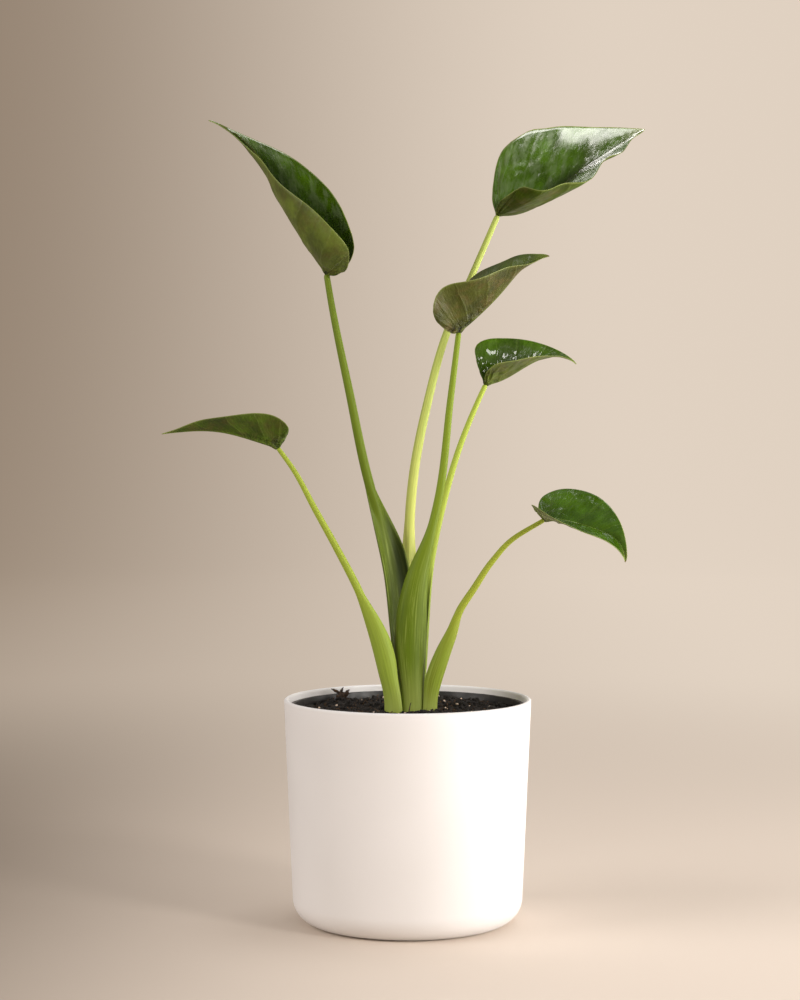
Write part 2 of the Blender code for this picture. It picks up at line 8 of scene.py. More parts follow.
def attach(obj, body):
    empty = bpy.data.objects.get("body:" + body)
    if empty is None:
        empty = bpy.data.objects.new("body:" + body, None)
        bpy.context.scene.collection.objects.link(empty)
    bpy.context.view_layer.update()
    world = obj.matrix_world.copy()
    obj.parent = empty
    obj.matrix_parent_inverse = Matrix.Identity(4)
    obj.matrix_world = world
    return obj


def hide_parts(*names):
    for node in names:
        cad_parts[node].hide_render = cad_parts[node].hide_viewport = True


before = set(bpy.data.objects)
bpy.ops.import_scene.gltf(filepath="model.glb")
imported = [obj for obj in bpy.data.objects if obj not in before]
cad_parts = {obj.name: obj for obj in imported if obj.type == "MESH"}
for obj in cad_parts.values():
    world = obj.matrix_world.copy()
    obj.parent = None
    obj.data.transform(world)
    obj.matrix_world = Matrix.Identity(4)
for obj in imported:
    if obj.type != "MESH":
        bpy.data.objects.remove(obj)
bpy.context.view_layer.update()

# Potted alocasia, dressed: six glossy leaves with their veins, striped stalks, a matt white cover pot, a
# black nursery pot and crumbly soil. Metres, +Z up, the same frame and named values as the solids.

# Pots and soil, as in the solids
POT_RIM_RADIUS = 0.0700
POT_FOOT_RADIUS = 0.0653
POT_HEIGHT = 0.1275
POT_WALL = 0.0026
POT_LIP_RADIUS = 0.0013
POT_FOOT_ROUND = 0.0148
POT_FLOOR = 0.0036
INNER_RIM_RADIUS = 0.0666
INNER_FOOT_RADIUS = 0.0516
INNER_RIM_TOP = 0.1240
INNER_RIM_STEP = 0.0010
INNER_BAND = 0.0070
INNER_WALL = 0.0010
INNER_BASE = 0.0040
SOIL_TOP = 0.1202
SOIL_DOME = 0.0010
SOIL_GAP = 0.0004
PLUG_DEPTH = 0.0150

# Leaves, as in the solids
VEINS = 8
MIDRIB_DEPTH = 0.0010
PILLOW_HEIGHT = 0.0005
DRIP_SPAN = 0.45
TIP_HALF_WIDTH = 0.0024
FOLD_POWER = 1.3
FOLD_STEPS = 24
VEIN_BOW = 0.9
EVEN_ROWS = 0.10
EVEN_STEPS = (-1.0, -0.5, 0.0, 0.5, 1.0)
WING_WRAP = 82.0
SHEATH_WALL = 1.15
SHEATH_RISE = 1.15
SHEATH_TOP = 0.75

# Backdrop: the paper's colours near the plant, the left one darkened as painted shadow; what it glows with
# far away, the left one darker as painted shade; and where one becomes the other
PAPER_LEFT_PAINTED_SHADOW, PAPER_RIGHT = (104, 91, 77), (226, 214, 202)
GLOW_LEFT_PAINTED_SHADE, GLOW_RIGHT = (148, 131, 114), (224, 209, 193)
PAPER_FADE = (0.10, 1.30)

# Finer than the solids
POT_STEPS = 160
BLADE_ROWS = 161
BLADE_COLUMNS = 30
STALK_STATIONS = 150
STALK_OUTER = 46
STALK_INNER = 30
BLADE_MIDDLE = 0.00075
BLADE_MARGIN = 0.00040
WING_EDGE = 0.00055
FOOT_SPREAD = 0.00030

# Underside of a blade: how wide its thinner margin is, the keel's half width at the tip and how much wider it
# is at the stalk, the swelling round the stalk, the veins' height and sharpness and the bands at the midrib
# and the margin where they fade, and how far the keel's own direction reaches
MARGIN_TAPER = 0.0060
KEEL_WIDTH = 0.0007
KEEL_SPREAD = 0.0011
KNUCKLE_HEIGHT = 0.0007
KNUCKLE_RADIUS = 0.0042
VEIN_HEIGHT = 0.00016
VEIN_SHARPNESS = 24
VEIN_FADE = (0.002, 0.008)
KEEL_REACH = 0.0016

# Skin of a stalk: how many fine ridges it has and their height as a share of its radius, how dark the painted
# shade on its hollow side is, and over what length and by how much its end shrinks in the blade
STALK_RIDGES = 17
RIDGE_HEIGHT = 0.006
HOLLOW_SHADE = 0.85
STALK_END = 0.0012
STALK_END_SHRINK = 0.45

# Loose pieces: where the bark chip leans on the rim, the twig's two ends and its radius, how far the grains
# keep from the nursery pot's wall and how much nearer their far side may come
CHIP_AT = (-0.0385, 0.0440)
TWIG_ENDS = ((-0.0010, -0.0190, 0.1195), (0.0024, -0.0176, 0.1272))
TWIG_RADIUS = 0.00045
GRAIN_ROOM = 0.0012
GRAIN_OVERHANG = 0.0008

# The photograph's viewpoint, how many degrees it looks down, and the lens in mm for a 36 mm sensor
CAMERA_AT = (-0.00431, -1.490, 0.310)
CAMERA_DOWN = 2.69
CAMERA_LENS = 95.04

# Outline of half a blade: where its vein leaves the midrib, how far ahead it ends (both as shares of the
# length) and how far out (as a share of the half width), from the notch round the lobe to the tip.
OUTLINE = (
    (0.00, -0.035, 0.00),
    (0.00, -0.150, 0.20),
    (0.00, -0.215, 0.45),
    (0.00, -0.190, 0.72),
    (0.00, -0.080, 0.93),
    (0.02, 0.080, 1.00),
    (0.10, 0.250, 0.97),
    (0.22, 0.420, 0.84),
    (0.38, 0.590, 0.62),
    (0.56, 0.740, 0.38),
    (0.74, 0.865, 0.18),
    (0.89, 0.955, 0.06),
    (1.00, 1.000, 0.00),
)

# Each leaf, as in the solids. Lengths are metres and angles degrees.
# path: the petiole's line from the soil to the blade. radii: the petiole's at the soil and at the blade.
# foot: half widths of its foot, across and along the way its sheath opens. sheath: the height where the
# wings end above, the height where they are widest, their half width there, and the way they open.
# at: the place where the petiole meets the blade.
# heading, sweep, pitch and roll: the midrib's direction, its turn, its slope from base to tip, and its tilt.
# length and width: of the midrib, and of half the blade. lobe: how long and how wide the two lobes are, and
# cup how far they hang. full: how soon the outline narrows. drip: how much it narrows before the tip, and
# where that begins. right and left: slopes of each half, beside the midrib and then at the margin, and each
# of them at the lobe, the middle and the tip. wave: the waves' height on the right and on the left, their
# phase and their number.
LEAVES = {
    "a": {
        "path": ((-0.0024, 0.0034, 0.1220), (-0.0049, 0.0060, 0.1680), (-0.0094, 0.0075, 0.2050),
                 (-0.0153, 0.0070, 0.2280), (-0.0209, 0.0065, 0.2460), (-0.0332, 0.0065, 0.3020),
                 (-0.0435, 0.0080, 0.3530)),
        "radii": (0.0034, 0.0017), "foot": (0.0048, 0.0030), "sheath": (0.250, 0.200, 0.0086, -55),
        "at": (-0.0459, 0.0080, 0.3688),
        "heading": 152, "sweep": -5, "pitch": (48, 61, 47, 15), "roll": (-34, -41),
        "length": 0.1236, "width": 0.0386, "lobe": (0.44, 1.14), "cup": -29,
        "full": 1.10, "drip": (0.97, 0.43), "wave": (0.0003, 0.0010, 1.97, 4.7),
        "right": ((52, 63, 30), (112, 98, 25)), "left": ((100, 47, 19), (144, 106, 22)),
    },
    "b": {
        "path": ((0.0026, 0.0098, 0.1220), (0.0024, 0.0140, 0.1700), (0.0008, 0.0160, 0.2150),
                 (0.0035, 0.0175, 0.2537), (0.0118, 0.0195, 0.2963), (0.0220, 0.0220, 0.3334),
                 (0.0357, 0.0245, 0.3648)),
        "radii": (0.0033, 0.0016), "foot": (0.0042, 0.0030), "sheath": (0.228, 0.180, 0.0052, -90),
        "at": (0.0521, 0.0260, 0.4029),
        "heading": 28, "sweep": -10, "pitch": (-4, 37, 32, 29), "roll": (41, 48),
        "length": 0.1092, "width": 0.0454, "lobe": (0.37, 1.09), "cup": -16,
        "full": 0.95, "drip": (0.01, 0.38), "wave": (0.0018, 0.0004, -1.74, 4.9),
        "right": ((75, 42, 53), (81, 62, 28)), "left": ((49, 60, 34), (73, 77, 47)),
    },
    "c": {
        "path": ((0.0029, -0.0066, 0.1220), (0.0019, -0.0080, 0.1610), (0.0058, -0.0085, 0.1980),
                 (0.0126, -0.0083, 0.2210), (0.0169, -0.0080, 0.2390), (0.0240, -0.0070, 0.2965)),
        "radii": (0.0030, 0.0015), "foot": (0.0057, 0.0028), "sheath": (0.228, 0.162, 0.0092, 95),
        "at": (0.0284, -0.0060, 0.3358),
        "heading": -6, "sweep": -1, "pitch": (38, 44, 47, 5), "roll": (11, 36),
        "length": 0.0668, "width": 0.0318, "lobe": (0.64, 1.08), "cup": -42,
        "full": 1.02, "drip": (0.00, 0.35), "wave": (0.0013, 0.0010, 1.53, 3.9),
        "right": ((55, 48, 0), (64, 58, 5)), "left": ((55, 31, 50), (45, 14, 56)),
    },
    "d": {
        "path": ((0.0064, 0.0034, 0.1220), (0.0080, 0.0062, 0.1450), (0.0131, 0.0090, 0.2040),
                 (0.0205, 0.0102, 0.2385), (0.0309, 0.0115, 0.2731), (0.0404, 0.0130, 0.2963)),
        "radii": (0.0026, 0.0014), "foot": (0.0034, 0.0024), "sheath": (0.205, 0.160, 0.0042, -140),
        "at": (0.0448, 0.0140, 0.3062),
        "heading": 23, "sweep": -6, "pitch": (8, 29, 13, -43), "roll": (24, 35),
        "length": 0.0606, "width": 0.0234, "lobe": (0.38, 1.08), "cup": 17,
        "full": 1.23, "drip": (0.00, 0.31), "wave": (0.0002, 0.0002, 3.70, 4.2),
        "right": ((50, 52, 33), (52, 45, -18)), "left": ((61, 60, 30), (68, 40, 38)),
    },
    "e": {
        "path": ((-0.0080, -0.0078, 0.1220), (-0.0122, -0.0080, 0.1440), (-0.0205, -0.0092, 0.1730),
                 (-0.0283, -0.0100, 0.1910), (-0.0399, -0.0110, 0.2135), (-0.0520, -0.0120, 0.2355),
                 (-0.0642, -0.0120, 0.2579)),
        "radii": (0.0028, 0.0012), "foot": (0.0052, 0.0026), "sheath": (0.190, 0.155, 0.0064, 62),
        "at": (-0.0730, -0.0120, 0.2710),
        "heading": 182, "sweep": -6, "pitch": (18, 15, -1, -12), "roll": (7, 1),
        "length": 0.0662, "width": 0.0206, "lobe": (0.28, 1.03), "cup": 0,
        "full": 1.20, "drip": (0.10, 0.32), "wave": (0.0009, 0.0009, 0.06, 3.3),
        "right": ((61, 38, 36), (54, 20, 31)), "left": ((48, 44, 29), (48, 37, 20)),
    },
    "f": {
        "path": ((0.0126, -0.0066, 0.1220), (0.0200, -0.0095, 0.1530), (0.0250, -0.0110, 0.1665),
                 (0.0283, -0.0120, 0.1765), (0.0375, -0.0140, 0.1915), (0.0476, -0.0160, 0.2068),
                 (0.0590, -0.0180, 0.2192)),
        "radii": (0.0028, 0.0012), "foot": (0.0042, 0.0025), "sheath": (0.180, 0.142, 0.0054, 118),
        "at": (0.0769, -0.0200, 0.2309),
        "heading": -13, "sweep": -18, "pitch": (-1, -15, -26, -94), "roll": (10, 27),
        "length": 0.0569, "width": 0.0273, "lobe": (0.56, 0.91), "cup": -4,
        "full": 1.08, "drip": (0.01, 0.34), "wave": (0.0001, 0.0001, 2.30, 5.0),
        "right": ((70, 8, 36), (97, 20, 18)), "left": ((21, 34, 74), (39, 29, 82)),
    },
}

# How each leaf looks. Colours are sRGB, 0 to 255; low is the sheath's. Gloss is the wax's roughness and the
# sheen how strong its whitish painted sheen is. Shine is the upper side's specular level, its coat's weight
# and its coat's roughness, and dull the underside's specular level. Pucker is the height of the dimples near
# the base, in metres. Bloom is how brown the underside's clouds are, tip how brown the drip tip is, and knots
# how deep the dents are beside the underside's midrib and how dark the painted shade in them is.
LOOKS = {
    "a": {"upper": (70, 102, 2), "under": (88, 102, 36), "stalk": (104, 124, 28), "low": (86, 104, 8),
          "gloss": 0.20, "painted_sheen": 0.24, "shine": (0.5, 0.80, 0.18), "dull": 0.26,
          "pucker": 0.00014, "bloom": 0.35, "tip": 0.0, "knots": 1.0},
    "b": {"upper": (70, 104, 2), "under": (62, 80, 4), "stalk": (176, 192, 96), "low": (232, 240, 132),
          "gloss": 0.22, "painted_sheen": 0.20, "shine": (0.5, 1.00, 0.16), "dull": 0.10,
          "pucker": 0.00016, "bloom": 0.40, "tip": 0.0, "knots": 0.5},
    "c": {"upper": (70, 88, 24), "under": (66, 70, 20), "stalk": (124, 146, 32), "low": (92, 114, 14),
          "gloss": 0.24, "painted_sheen": 0.15, "shine": (0.5, 0.15, 0.18), "dull": 0.26,
          "pucker": 0.00022, "bloom": 0.70, "tip": 0.7, "knots": 1.0},
    "d": {"upper": (62, 94, 2), "under": (74, 90, 16), "stalk": (168, 186, 72), "low": (132, 154, 48),
          "gloss": 0.16, "painted_sheen": 0.00, "shine": (0.10, 0.22, 0.05), "dull": 0.26,
          "pucker": 0.00050, "bloom": 0.35, "tip": 0.1, "knots": 0.6},
    "e": {"upper": (66, 96, 4), "under": (66, 88, 10), "stalk": (156, 174, 60), "low": (148, 170, 60),
          "gloss": 0.24, "painted_sheen": 0.05, "shine": (0.5, 0.15, 0.15), "dull": 0.26,
          "pucker": 0.00024, "bloom": 0.40, "tip": 0.1, "knots": 0.8},
    "f": {"upper": (60, 92, 4), "under": (102, 116, 52), "stalk": (150, 162, 50), "low": (124, 142, 38),
          "gloss": 0.15, "painted_sheen": 0.03, "shine": (0.3, 0.20, 0.06), "dull": 0.26,
          "pucker": 0.00042, "bloom": 0.30, "tip": 0.8, "knots": 0.4},
}


def srgb(colour):
    """Linear RGBA of an sRGB colour given in 0 to 255."""
    values = [c / 255 for c in colour]
    return tuple(v / 12.92 if v <= 0.04045 else ((v + 0.055) / 1.055) ** 2.4 for v in values) + (1.0,)


def scaled(colour, factor):
    return tuple(min(255, c * factor) for c in colour)


# Node helpers

def node(near, kind, inputs=None, **settings):
    """A node in the tree that is given or that the given socket is in; an input is a value or a socket."""
    made = near.id_data.nodes.new("ShaderNode" + kind)
    for name, value in settings.items():
        setattr(made, name, value)
    for name, value in (inputs or {}).items():
        put(made.inputs[name], value)
    return made


def put(socket, value):
    if isinstance(value, bpy.types.NodeSocket):
        socket.id_data.links.new(value, socket)
    else:
        socket.default_value = value


def maths(operation, a, b=0.0, clamp=False):
    return node(a, "Math", {0: a, 1: b}, operation=operation, use_clamp=clamp).outputs[0]


def times(a, b):
    return maths("MULTIPLY", a, b)


def blend_colours(mask, a, b):
    return node(mask, "Mix", {0: mask, 6: a, 7: b}, data_type="RGBA").outputs[2]


def mottled(mask, dark, light):
    """Two sRGB colours mixed by a mask."""
    return blend_colours(mask, srgb(dark), srgb(light))


def layered(colour, *layers):
    """A colour with sRGB colours laid over it in turn, each by its mask."""
    for mask, over in layers:
        colour = blend_colours(mask, colour, srgb(over))
    return colour


def remap(value, low, high, start=0.0, end=1.0):
    """Value moved from the range low to high into start to end, with soft ends."""
    inputs = {0: value, 1: low, 2: high, 3: start, 4: end}
    return node(value, "MapRange", inputs, interpolation_type="SMOOTHSTEP").outputs[0]


def noise_of(vector, scale, detail=3.0, roughness=0.55):
    inputs = {"Vector": vector, "Scale": scale, "Detail": detail, "Roughness": roughness}
    return node(vector, "TexNoise", inputs).outputs["Fac"]


def place_of(tree):
    return node(tree, "TexCoord").outputs["Object"]


def bump_of(height, distance, strength, below=None):
    inputs = {"Height": height, "Distance": distance, "Strength": strength}
    if below is not None:
        inputs["Normal"] = below
    return node(height, "Bump", inputs).outputs["Normal"]


def new_look(name, **constants):
    """A node material with the shader's constant inputs set; returns it, its tree and its shader."""
    look = bpy.data.materials.new(name)
    look.use_nodes = True
    tree = look.node_tree
    shader = tree.nodes["Principled BSDF"]
    for socket, value in constants.items():
        shader.inputs[socket.replace("_", " ")].default_value = value
    return look, tree, shader


def wear(look, shader, colour, roughness, normal):
    """Plug colour, roughness and normal into a material's shader, and return the material."""
    put(shader.inputs["Base Color"], colour)
    put(shader.inputs["Roughness"], roughness)
    put(shader.inputs["Normal"], normal)
    return look


# Materials

def ceramic_look():
    """Matt warm white with a fine orange-peel skin and faint cloudy patches."""
    look, tree, shader = new_look("pot_matt_white")
    place = place_of(tree)
    cloud = remap(noise_of(place, 9.0, 2.0), 0.35, 0.7)
    grain = bump_of(noise_of(place, 1400.0, 2.0), 0.00004, 0.5)
    return wear(look, shader, mottled(cloud, (234, 233, 234), (229, 228, 228)),
                remap(noise_of(place, 60.0), 0.3, 0.7, 0.50, 0.62),
                bump_of(noise_of(place, 90.0, 1.0), 0.00012, 0.4, grain))


def nursery_look():
    """Black moulded plastic with rub marks and a few dusty smears."""
    look, tree, shader = new_look("nursery_black")
    place = place_of(tree)
    dust = remap(noise_of(place, 120.0, 5.0, 0.7), 0.50, 0.72)
    return wear(look, shader, mottled(dust, (24, 24, 24), (52, 48, 43)),
                remap(noise_of(place, 200.0), 0.3, 0.7, 0.34, 0.55),
                bump_of(noise_of(place, 900.0), 0.00004, 0.5))


def soil_look(name, dark, light, scale):
    """Damp peat: near black, with brown crumbs and fibres in it."""
    look, tree, shader = new_look(name)
    place = place_of(tree)
    speck = remap(noise_of(place, scale, 6.0, 0.75), 0.46, 0.70)
    return wear(look, shader, mottled(speck, dark, light),
                remap(noise_of(place, scale * 0.6), 0.3, 0.7, 0.72, 0.98),
                bump_of(noise_of(place, scale * 1.6, 6.0, 0.8), 0.0004, 0.8))


def perlite_look():
    """Pale expanded mineral, pitted and a little stained by the soil."""
    look, tree, shader = new_look("perlite")
    place = place_of(tree)
    stain = remap(noise_of(place, 700.0, 4.0), 0.40, 0.75)
    pits = node(tree, "TexVoronoi", {"Vector": place, "Scale": 2600.0}).outputs["Distance"]
    return wear(look, shader, mottled(stain, (238, 218, 200), (170, 140, 112)),
                remap(stain, 0.0, 1.0, 0.75, 0.95), bump_of(pits, 0.0002, 0.8))


def bark_look():
    """Dark composted wood with a lengthways grain."""
    look, tree, shader = new_look("bark")
    stretched = node(tree, "Mapping", {"Vector": place_of(tree), "Scale": (1.0, 1.0, 0.12)}).outputs[0]
    grain = noise_of(stretched, 1800.0, 4.0, 0.7)
    return wear(look, shader, mottled(remap(grain, 0.4, 0.7), (30, 20, 14), (92, 66, 44)),
                remap(grain, 0.3, 0.7, 0.7, 0.95), bump_of(grain, 0.0003, 0.9))


def line_mask(value, width):
    """1 on each whole number of the value, falling to 0 at the given share of half the spacing."""
    off = maths("ABSOLUTE", maths("SUBTRACT", maths("FRACT", value), 0.5))
    return remap(times(off, 2.0), 1.0 - width, 1.0)


def blade_parts(tree):
    """The blade's row, distances in mm from the midrib and the margin, the place, and the vein masks."""
    given = node(tree, "Attribute", attribute_name="leaf_map").outputs["Vector"]
    row, rib, margin = node(tree, "SeparateXYZ", {0: given}).outputs
    place = place_of(tree)
    wander = times(maths("SUBTRACT", noise_of(place, 70.0, 2.0), 0.5), 0.05)
    along = maths("ADD", row, wander)
    main = line_mask(times(along, float(VEINS)), 0.085)
    fine = line_mask(times(along, VEINS * 7.0), 0.55)
    return row, rib, margin, place, (main, fine)


def vein_mix(veins, main_share, fine_share, clamp=False):
    """The main and the fine veins, each by its share."""
    return maths("ADD", times(veins[0], main_share), times(veins[1], fine_share), clamp)


def patchy(green, mask, darkest, lightest):
    """A green with darker and lighter patches."""
    return mottled(mask, scaled(green, darkest), scaled(green, lightest))


def tip_layers(row, brown):
    """The last of the blade turns yellow-green, and brown at the very end where the leaf has dried."""
    return ((remap(row, 0.86, 0.97, 0.0, 0.35), (150, 168, 70)),
            (remap(row, 0.965, 0.985, 0.0, brown), (98, 62, 30)))


def creases(row, rib):
    """Uneven folds that run out from the midrib along the veins."""
    flow = node(row, "CombineXYZ", {0: times(row, 26.0), 1: times(rib, 0.10)}).outputs[0]
    return noise_of(flow, 1.0, 3.0, 0.6)


def blade_upper_look(key, look_of):
    """Deep green waxy upper side: faint veins, a hair-thin light margin and streaks of whitish painted sheen.
    """
    shine, coat, coat_roughness = look_of["shine"]
    look, tree, shader = new_look(f"blade_{key}_upper", Specular_IOR_Level=shine, Coat_Weight=coat,
                                  Coat_Roughness=coat_roughness, Coat_IOR=1.75)
    row, rib, margin, place, veins = blade_parts(tree)
    patches = remap(noise_of(place, 55.0, 3.0), 0.35, 0.68)
    folds = creases(row, rib)
    # painted sheen: whitish streaks along the creases, kept off the midrib and the margin
    painted_sheen_area = times(remap(margin, 1.0, 4.0), remap(rib, 2.0, 11.0))
    painted_sheen = times(remap(folds, 0.44, 0.60, 0.0, look_of["painted_sheen"]), painted_sheen_area)
    colour = layered(
        patchy(look_of["upper"], patches, 0.82, 1.14),
        (vein_mix(veins, 0.10, 0.03, True), (120, 142, 60)),
        (remap(rib, 0.45, 0.10, 0.0, 0.45), (140, 158, 72)),
        (remap(margin, 0.26, 0.06, 0.0, 0.55), (150, 164, 90)),
        (painted_sheen, (158, 172, 142)),
        *tip_layers(row, look_of["tip"]),
    )
    wax = times(maths("ADD", noise_of(place, 420.0, 5.0, 0.7), folds), 0.5)
    skin = bump_of(noise_of(place, 1500.0, 3.0), 0.00005, 0.35)
    lines = bump_of(vein_mix(veins, -1.0, -0.25), 0.00010, 0.8, skin)
    swells = bump_of(noise_of(place, 70.0, 2.0), 0.0040, 0.7, lines)
    roughness = remap(wax, 0.38, 0.62, look_of["gloss"], look_of["gloss"] + 0.15)
    return wear(look, shader, colour, roughness, bump_of(folds, 0.0016, 0.7, swells))


def blade_under_look(key, look_of):
    """Dull grey-green underside with low veins, cloudy brownish patches and painted shade in dents beside the
    midrib.
    """
    look, tree, shader = new_look(f"blade_{key}_under", Specular_IOR_Level=look_of["dull"])
    row, rib, margin, place, veins = blade_parts(tree)
    patches = remap(noise_of(place, 60.0, 5.0, 0.6), 0.34, 0.66)
    cloud = remap(noise_of(place, 110.0, 5.0, 0.65), 0.44, 0.66, 0.0, look_of["bloom"])
    beside_rib = times(remap(rib, 8.0, 2.0), remap(row, 0.80, 0.30))
    puckered = maths("ADD", beside_rib, remap(row, 0.40, 0.02, 0.0, 0.5), True)
    puckered = times(puckered, look_of["knots"])
    dents = noise_of(place, 300.0, 3.0, 0.55)
    # painted shade: the colour is darkened in the dents' hollows
    painted_hollow_shade = times(puckered, remap(dents, 0.56, 0.44, 0.0, 0.85))
    colour = layered(
        patchy(look_of["under"], patches, 0.80, 1.12),
        (cloud, (88, 76, 36)),
        (vein_mix(veins, 0.10, 0.05, True), (132, 144, 80)),
        (remap(rib, 1.3, 0.4, 0.0, 0.35), (116, 132, 56)),
        (remap(margin, 2.6, 0.3, 0.0, 0.18), (112, 130, 56)),
        (remap(margin, 0.34, 0.08, 0.0, 0.45), (150, 162, 92)),
        (painted_hollow_shade, scaled(look_of["under"], 0.34)),
        *tip_layers(row, look_of["tip"]),
    )
    skin = bump_of(noise_of(place, 1200.0, 3.0), 0.00006, 0.5)
    lines = bump_of(vein_mix(veins, 1.0, 0.25), 0.00010, 0.8, skin)
    folds = bump_of(creases(row, rib), 0.0012, 0.6, lines)
    roughness = remap(noise_of(place, 200.0, 4.0), 0.3, 0.7, 0.38, 0.56)
    return wear(look, shader, colour, roughness, bump_of(times(dents, puckered), 0.0040, 1.0, folds))


def stalk_look(key, look_of):
    """Juicy stalk with lengthways streaks: its own green above, another in the sheath, pale at the soil;
    painted shade inside.
    """
    look, tree, shader = new_look(f"petiole_{key}_skin", Subsurface_Weight=0.05, Subsurface_Scale=0.0015,
                                  Subsurface_Radius=(0.9, 1.0, 0.25), Specular_IOR_Level=0.22)
    round_it = node(tree, "Attribute", attribute_name="stalk_round").outputs["Vector"]
    facts = node(tree, "Attribute", attribute_name="stalk_facts").outputs["Vector"]
    height, wing, inside = node(tree, "SeparateXYZ", {0: facts}).outputs
    streak = noise_of(round_it, 1.2, 3.0, 0.6)
    broad = noise_of(round_it, 0.5, 2.0)
    fine = noise_of(round_it, 3.4, 5.0, 0.7)
    upper, low = look_of["stalk"], look_of["low"]
    near_soil = remap(height, 0.50, 0.28)
    colour = layered(
        mottled(remap(height, 0.25, 0.62), low, upper),
        (remap(streak, 0.48, 0.74, 0.0, 0.28), scaled(low, 1.15)),
        (remap(streak, 0.47, 0.26, 0.0, 0.32), scaled(upper, 0.74)),
        (remap(broad, 0.52, 0.72, 0.0, 0.35), scaled(upper, 0.82)),
        (times(near_soil, remap(fine, 0.50, 0.68, 0.0, 0.45)), (166, 182, 86)),
        (times(near_soil, remap(fine, 0.48, 0.32, 0.0, 0.45)), scaled(low, 0.72)),
        (remap(height, 0.16, 0.0, 0.0, 0.65), (158, 172, 86)),
        # painted shade: the sheath's hollow side, darkest towards one wing
        (inside, (20, 32, 5)),
        (remap(wing, 0.92, 1.0, 0.0, 0.45), (150, 168, 84)),
    )
    return wear(look, shader, colour, remap(streak, 0.3, 0.7, 0.46, 0.60), bump_of(streak, 0.00006, 0.6))


def backdrop_look():
    """Warm beige paper, lit and shadowed near the plant and glowing far off; painted shadow and shade darken
    its left.
    """
    look, tree, shader = new_look("backdrop", Specular_IOR_Level=0.1, Roughness=0.92)
    place = place_of(tree)
    x = node(tree, "SeparateXYZ", {0: place}).outputs[0]
    distance = node(tree, "VectorMath", {0: place}, operation="LENGTH").outputs["Value"]
    far = remap(distance, *PAPER_FADE)
    # painted shadow: near the plant the paper is darker to the left
    paper = mottled(remap(x, -0.44, 0.05), PAPER_LEFT_PAINTED_SHADOW, PAPER_RIGHT)
    put(shader.inputs["Base Color"], layered(paper, (far, (0, 0, 0))))
    # painted shade: the glow is darker to the left
    put(shader.inputs["Emission Color"], mottled(remap(x, -0.90, 0.45), GLOW_LEFT_PAINTED_SHADE, GLOW_RIGHT))
    put(shader.inputs["Emission Strength"], far)
    return look


# Geometry helpers

def smooth_values(values, shares):
    """Values at equal spacing, read at shares from 0 to 1 along a Catmull-Rom curve."""
    given = np.asarray(values, float)
    given = given[:, None] if given.ndim == 1 else given
    last = len(given) - 1
    at = np.clip(np.asarray(shares, float) * last, 0, last - 1e-9)
    i = at.astype(int)
    f = (at - i)[:, None]
    ends = np.vstack([2 * given[0] - given[1], given, 2 * given[-1] - given[-2]])
    p0, p1, p2, p3 = ends[i], ends[i + 1], ends[i + 2], ends[i + 3]
    return 0.5 * (
        2 * p1 + (p2 - p0) * f + (2 * p0 - 5 * p1 + 4 * p2 - p3) * f**2 + (3 * p1 - p0 - 3 * p2 + p3) * f**3
    )


def unit(vectors):
    return vectors / np.linalg.norm(vectors, axis=-1, keepdims=True)


def ease(x):
    x = np.clip(x, 0.0, 1.0)
    return x * x * (3 - 2 * x)


def arc(centre, radius, start, end, steps):
    """Points of an arc in the XZ plane, angles in degrees."""
    angles = np.radians(np.linspace(start, end, steps + 1))
    return [(centre[0] + radius * math.cos(a), centre[1] + radius * math.sin(a)) for a in angles]


def mesh_piece(name, points, faces, looks, sharp):
    mesh = bpy.data.meshes.new(name)
    mesh.from_pydata([tuple(p) for p in points], [], faces)
    for look in looks:
        mesh.materials.append(look)
    mesh.shade_smooth()
    mesh.set_sharp_from_angle(angle=math.radians(sharp))
    obj = bpy.data.objects.new(name, mesh)
    bpy.context.scene.collection.objects.link(obj)
    return obj


def ring_quads(rings, count, first=0):
    """Quads between neighbouring rings of points."""
    quads = []
    for ring in range(rings - 1):
        low, high = first + ring * count, first + (ring + 1) * count
        quads += [(low + k, high + k, high + (k + 1) % count, low + (k + 1) % count) for k in range(count)]
    return quads


def rings_of(profile, segments):
    """Points of the rings that a profile of radius and height makes round the axis."""
    angles = np.linspace(0, 2 * math.pi, segments, endpoint=False)
    return [(r * math.cos(a), r * math.sin(a), z) for r, z in profile for a in angles]


def turned(name, profile, segments, look):
    """A surface of revolution from a profile that leaves the axis and comes back to it."""
    inner = profile[1:-1]
    points = [(0.0, 0.0, profile[0][1])] + rings_of(inner, segments) + [(0.0, 0.0, profile[-1][1])]
    last, end = len(points) - 1, len(points) - 1 - segments
    faces = ring_quads(len(inner), segments, 1)
    for k in range(segments):
        k2 = (k + 1) % segments
        faces += [(0, 1 + k, 1 + k2), (end + k, last, end + k2)]
    return mesh_piece(name, points, faces, [look], 40)


def stands_for(obj, slot, *nodes):
    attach(obj, "root")
    if nodes:
        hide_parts(*nodes)


# Pots

def straight(start, end, steps):
    """Points between two profile points, without the ends."""
    shares = np.linspace(0, 1, steps + 1)[1:-1]
    return [(start[0] + (end[0] - start[0]) * s, start[1] + (end[1] - start[1]) * s) for s in shares]


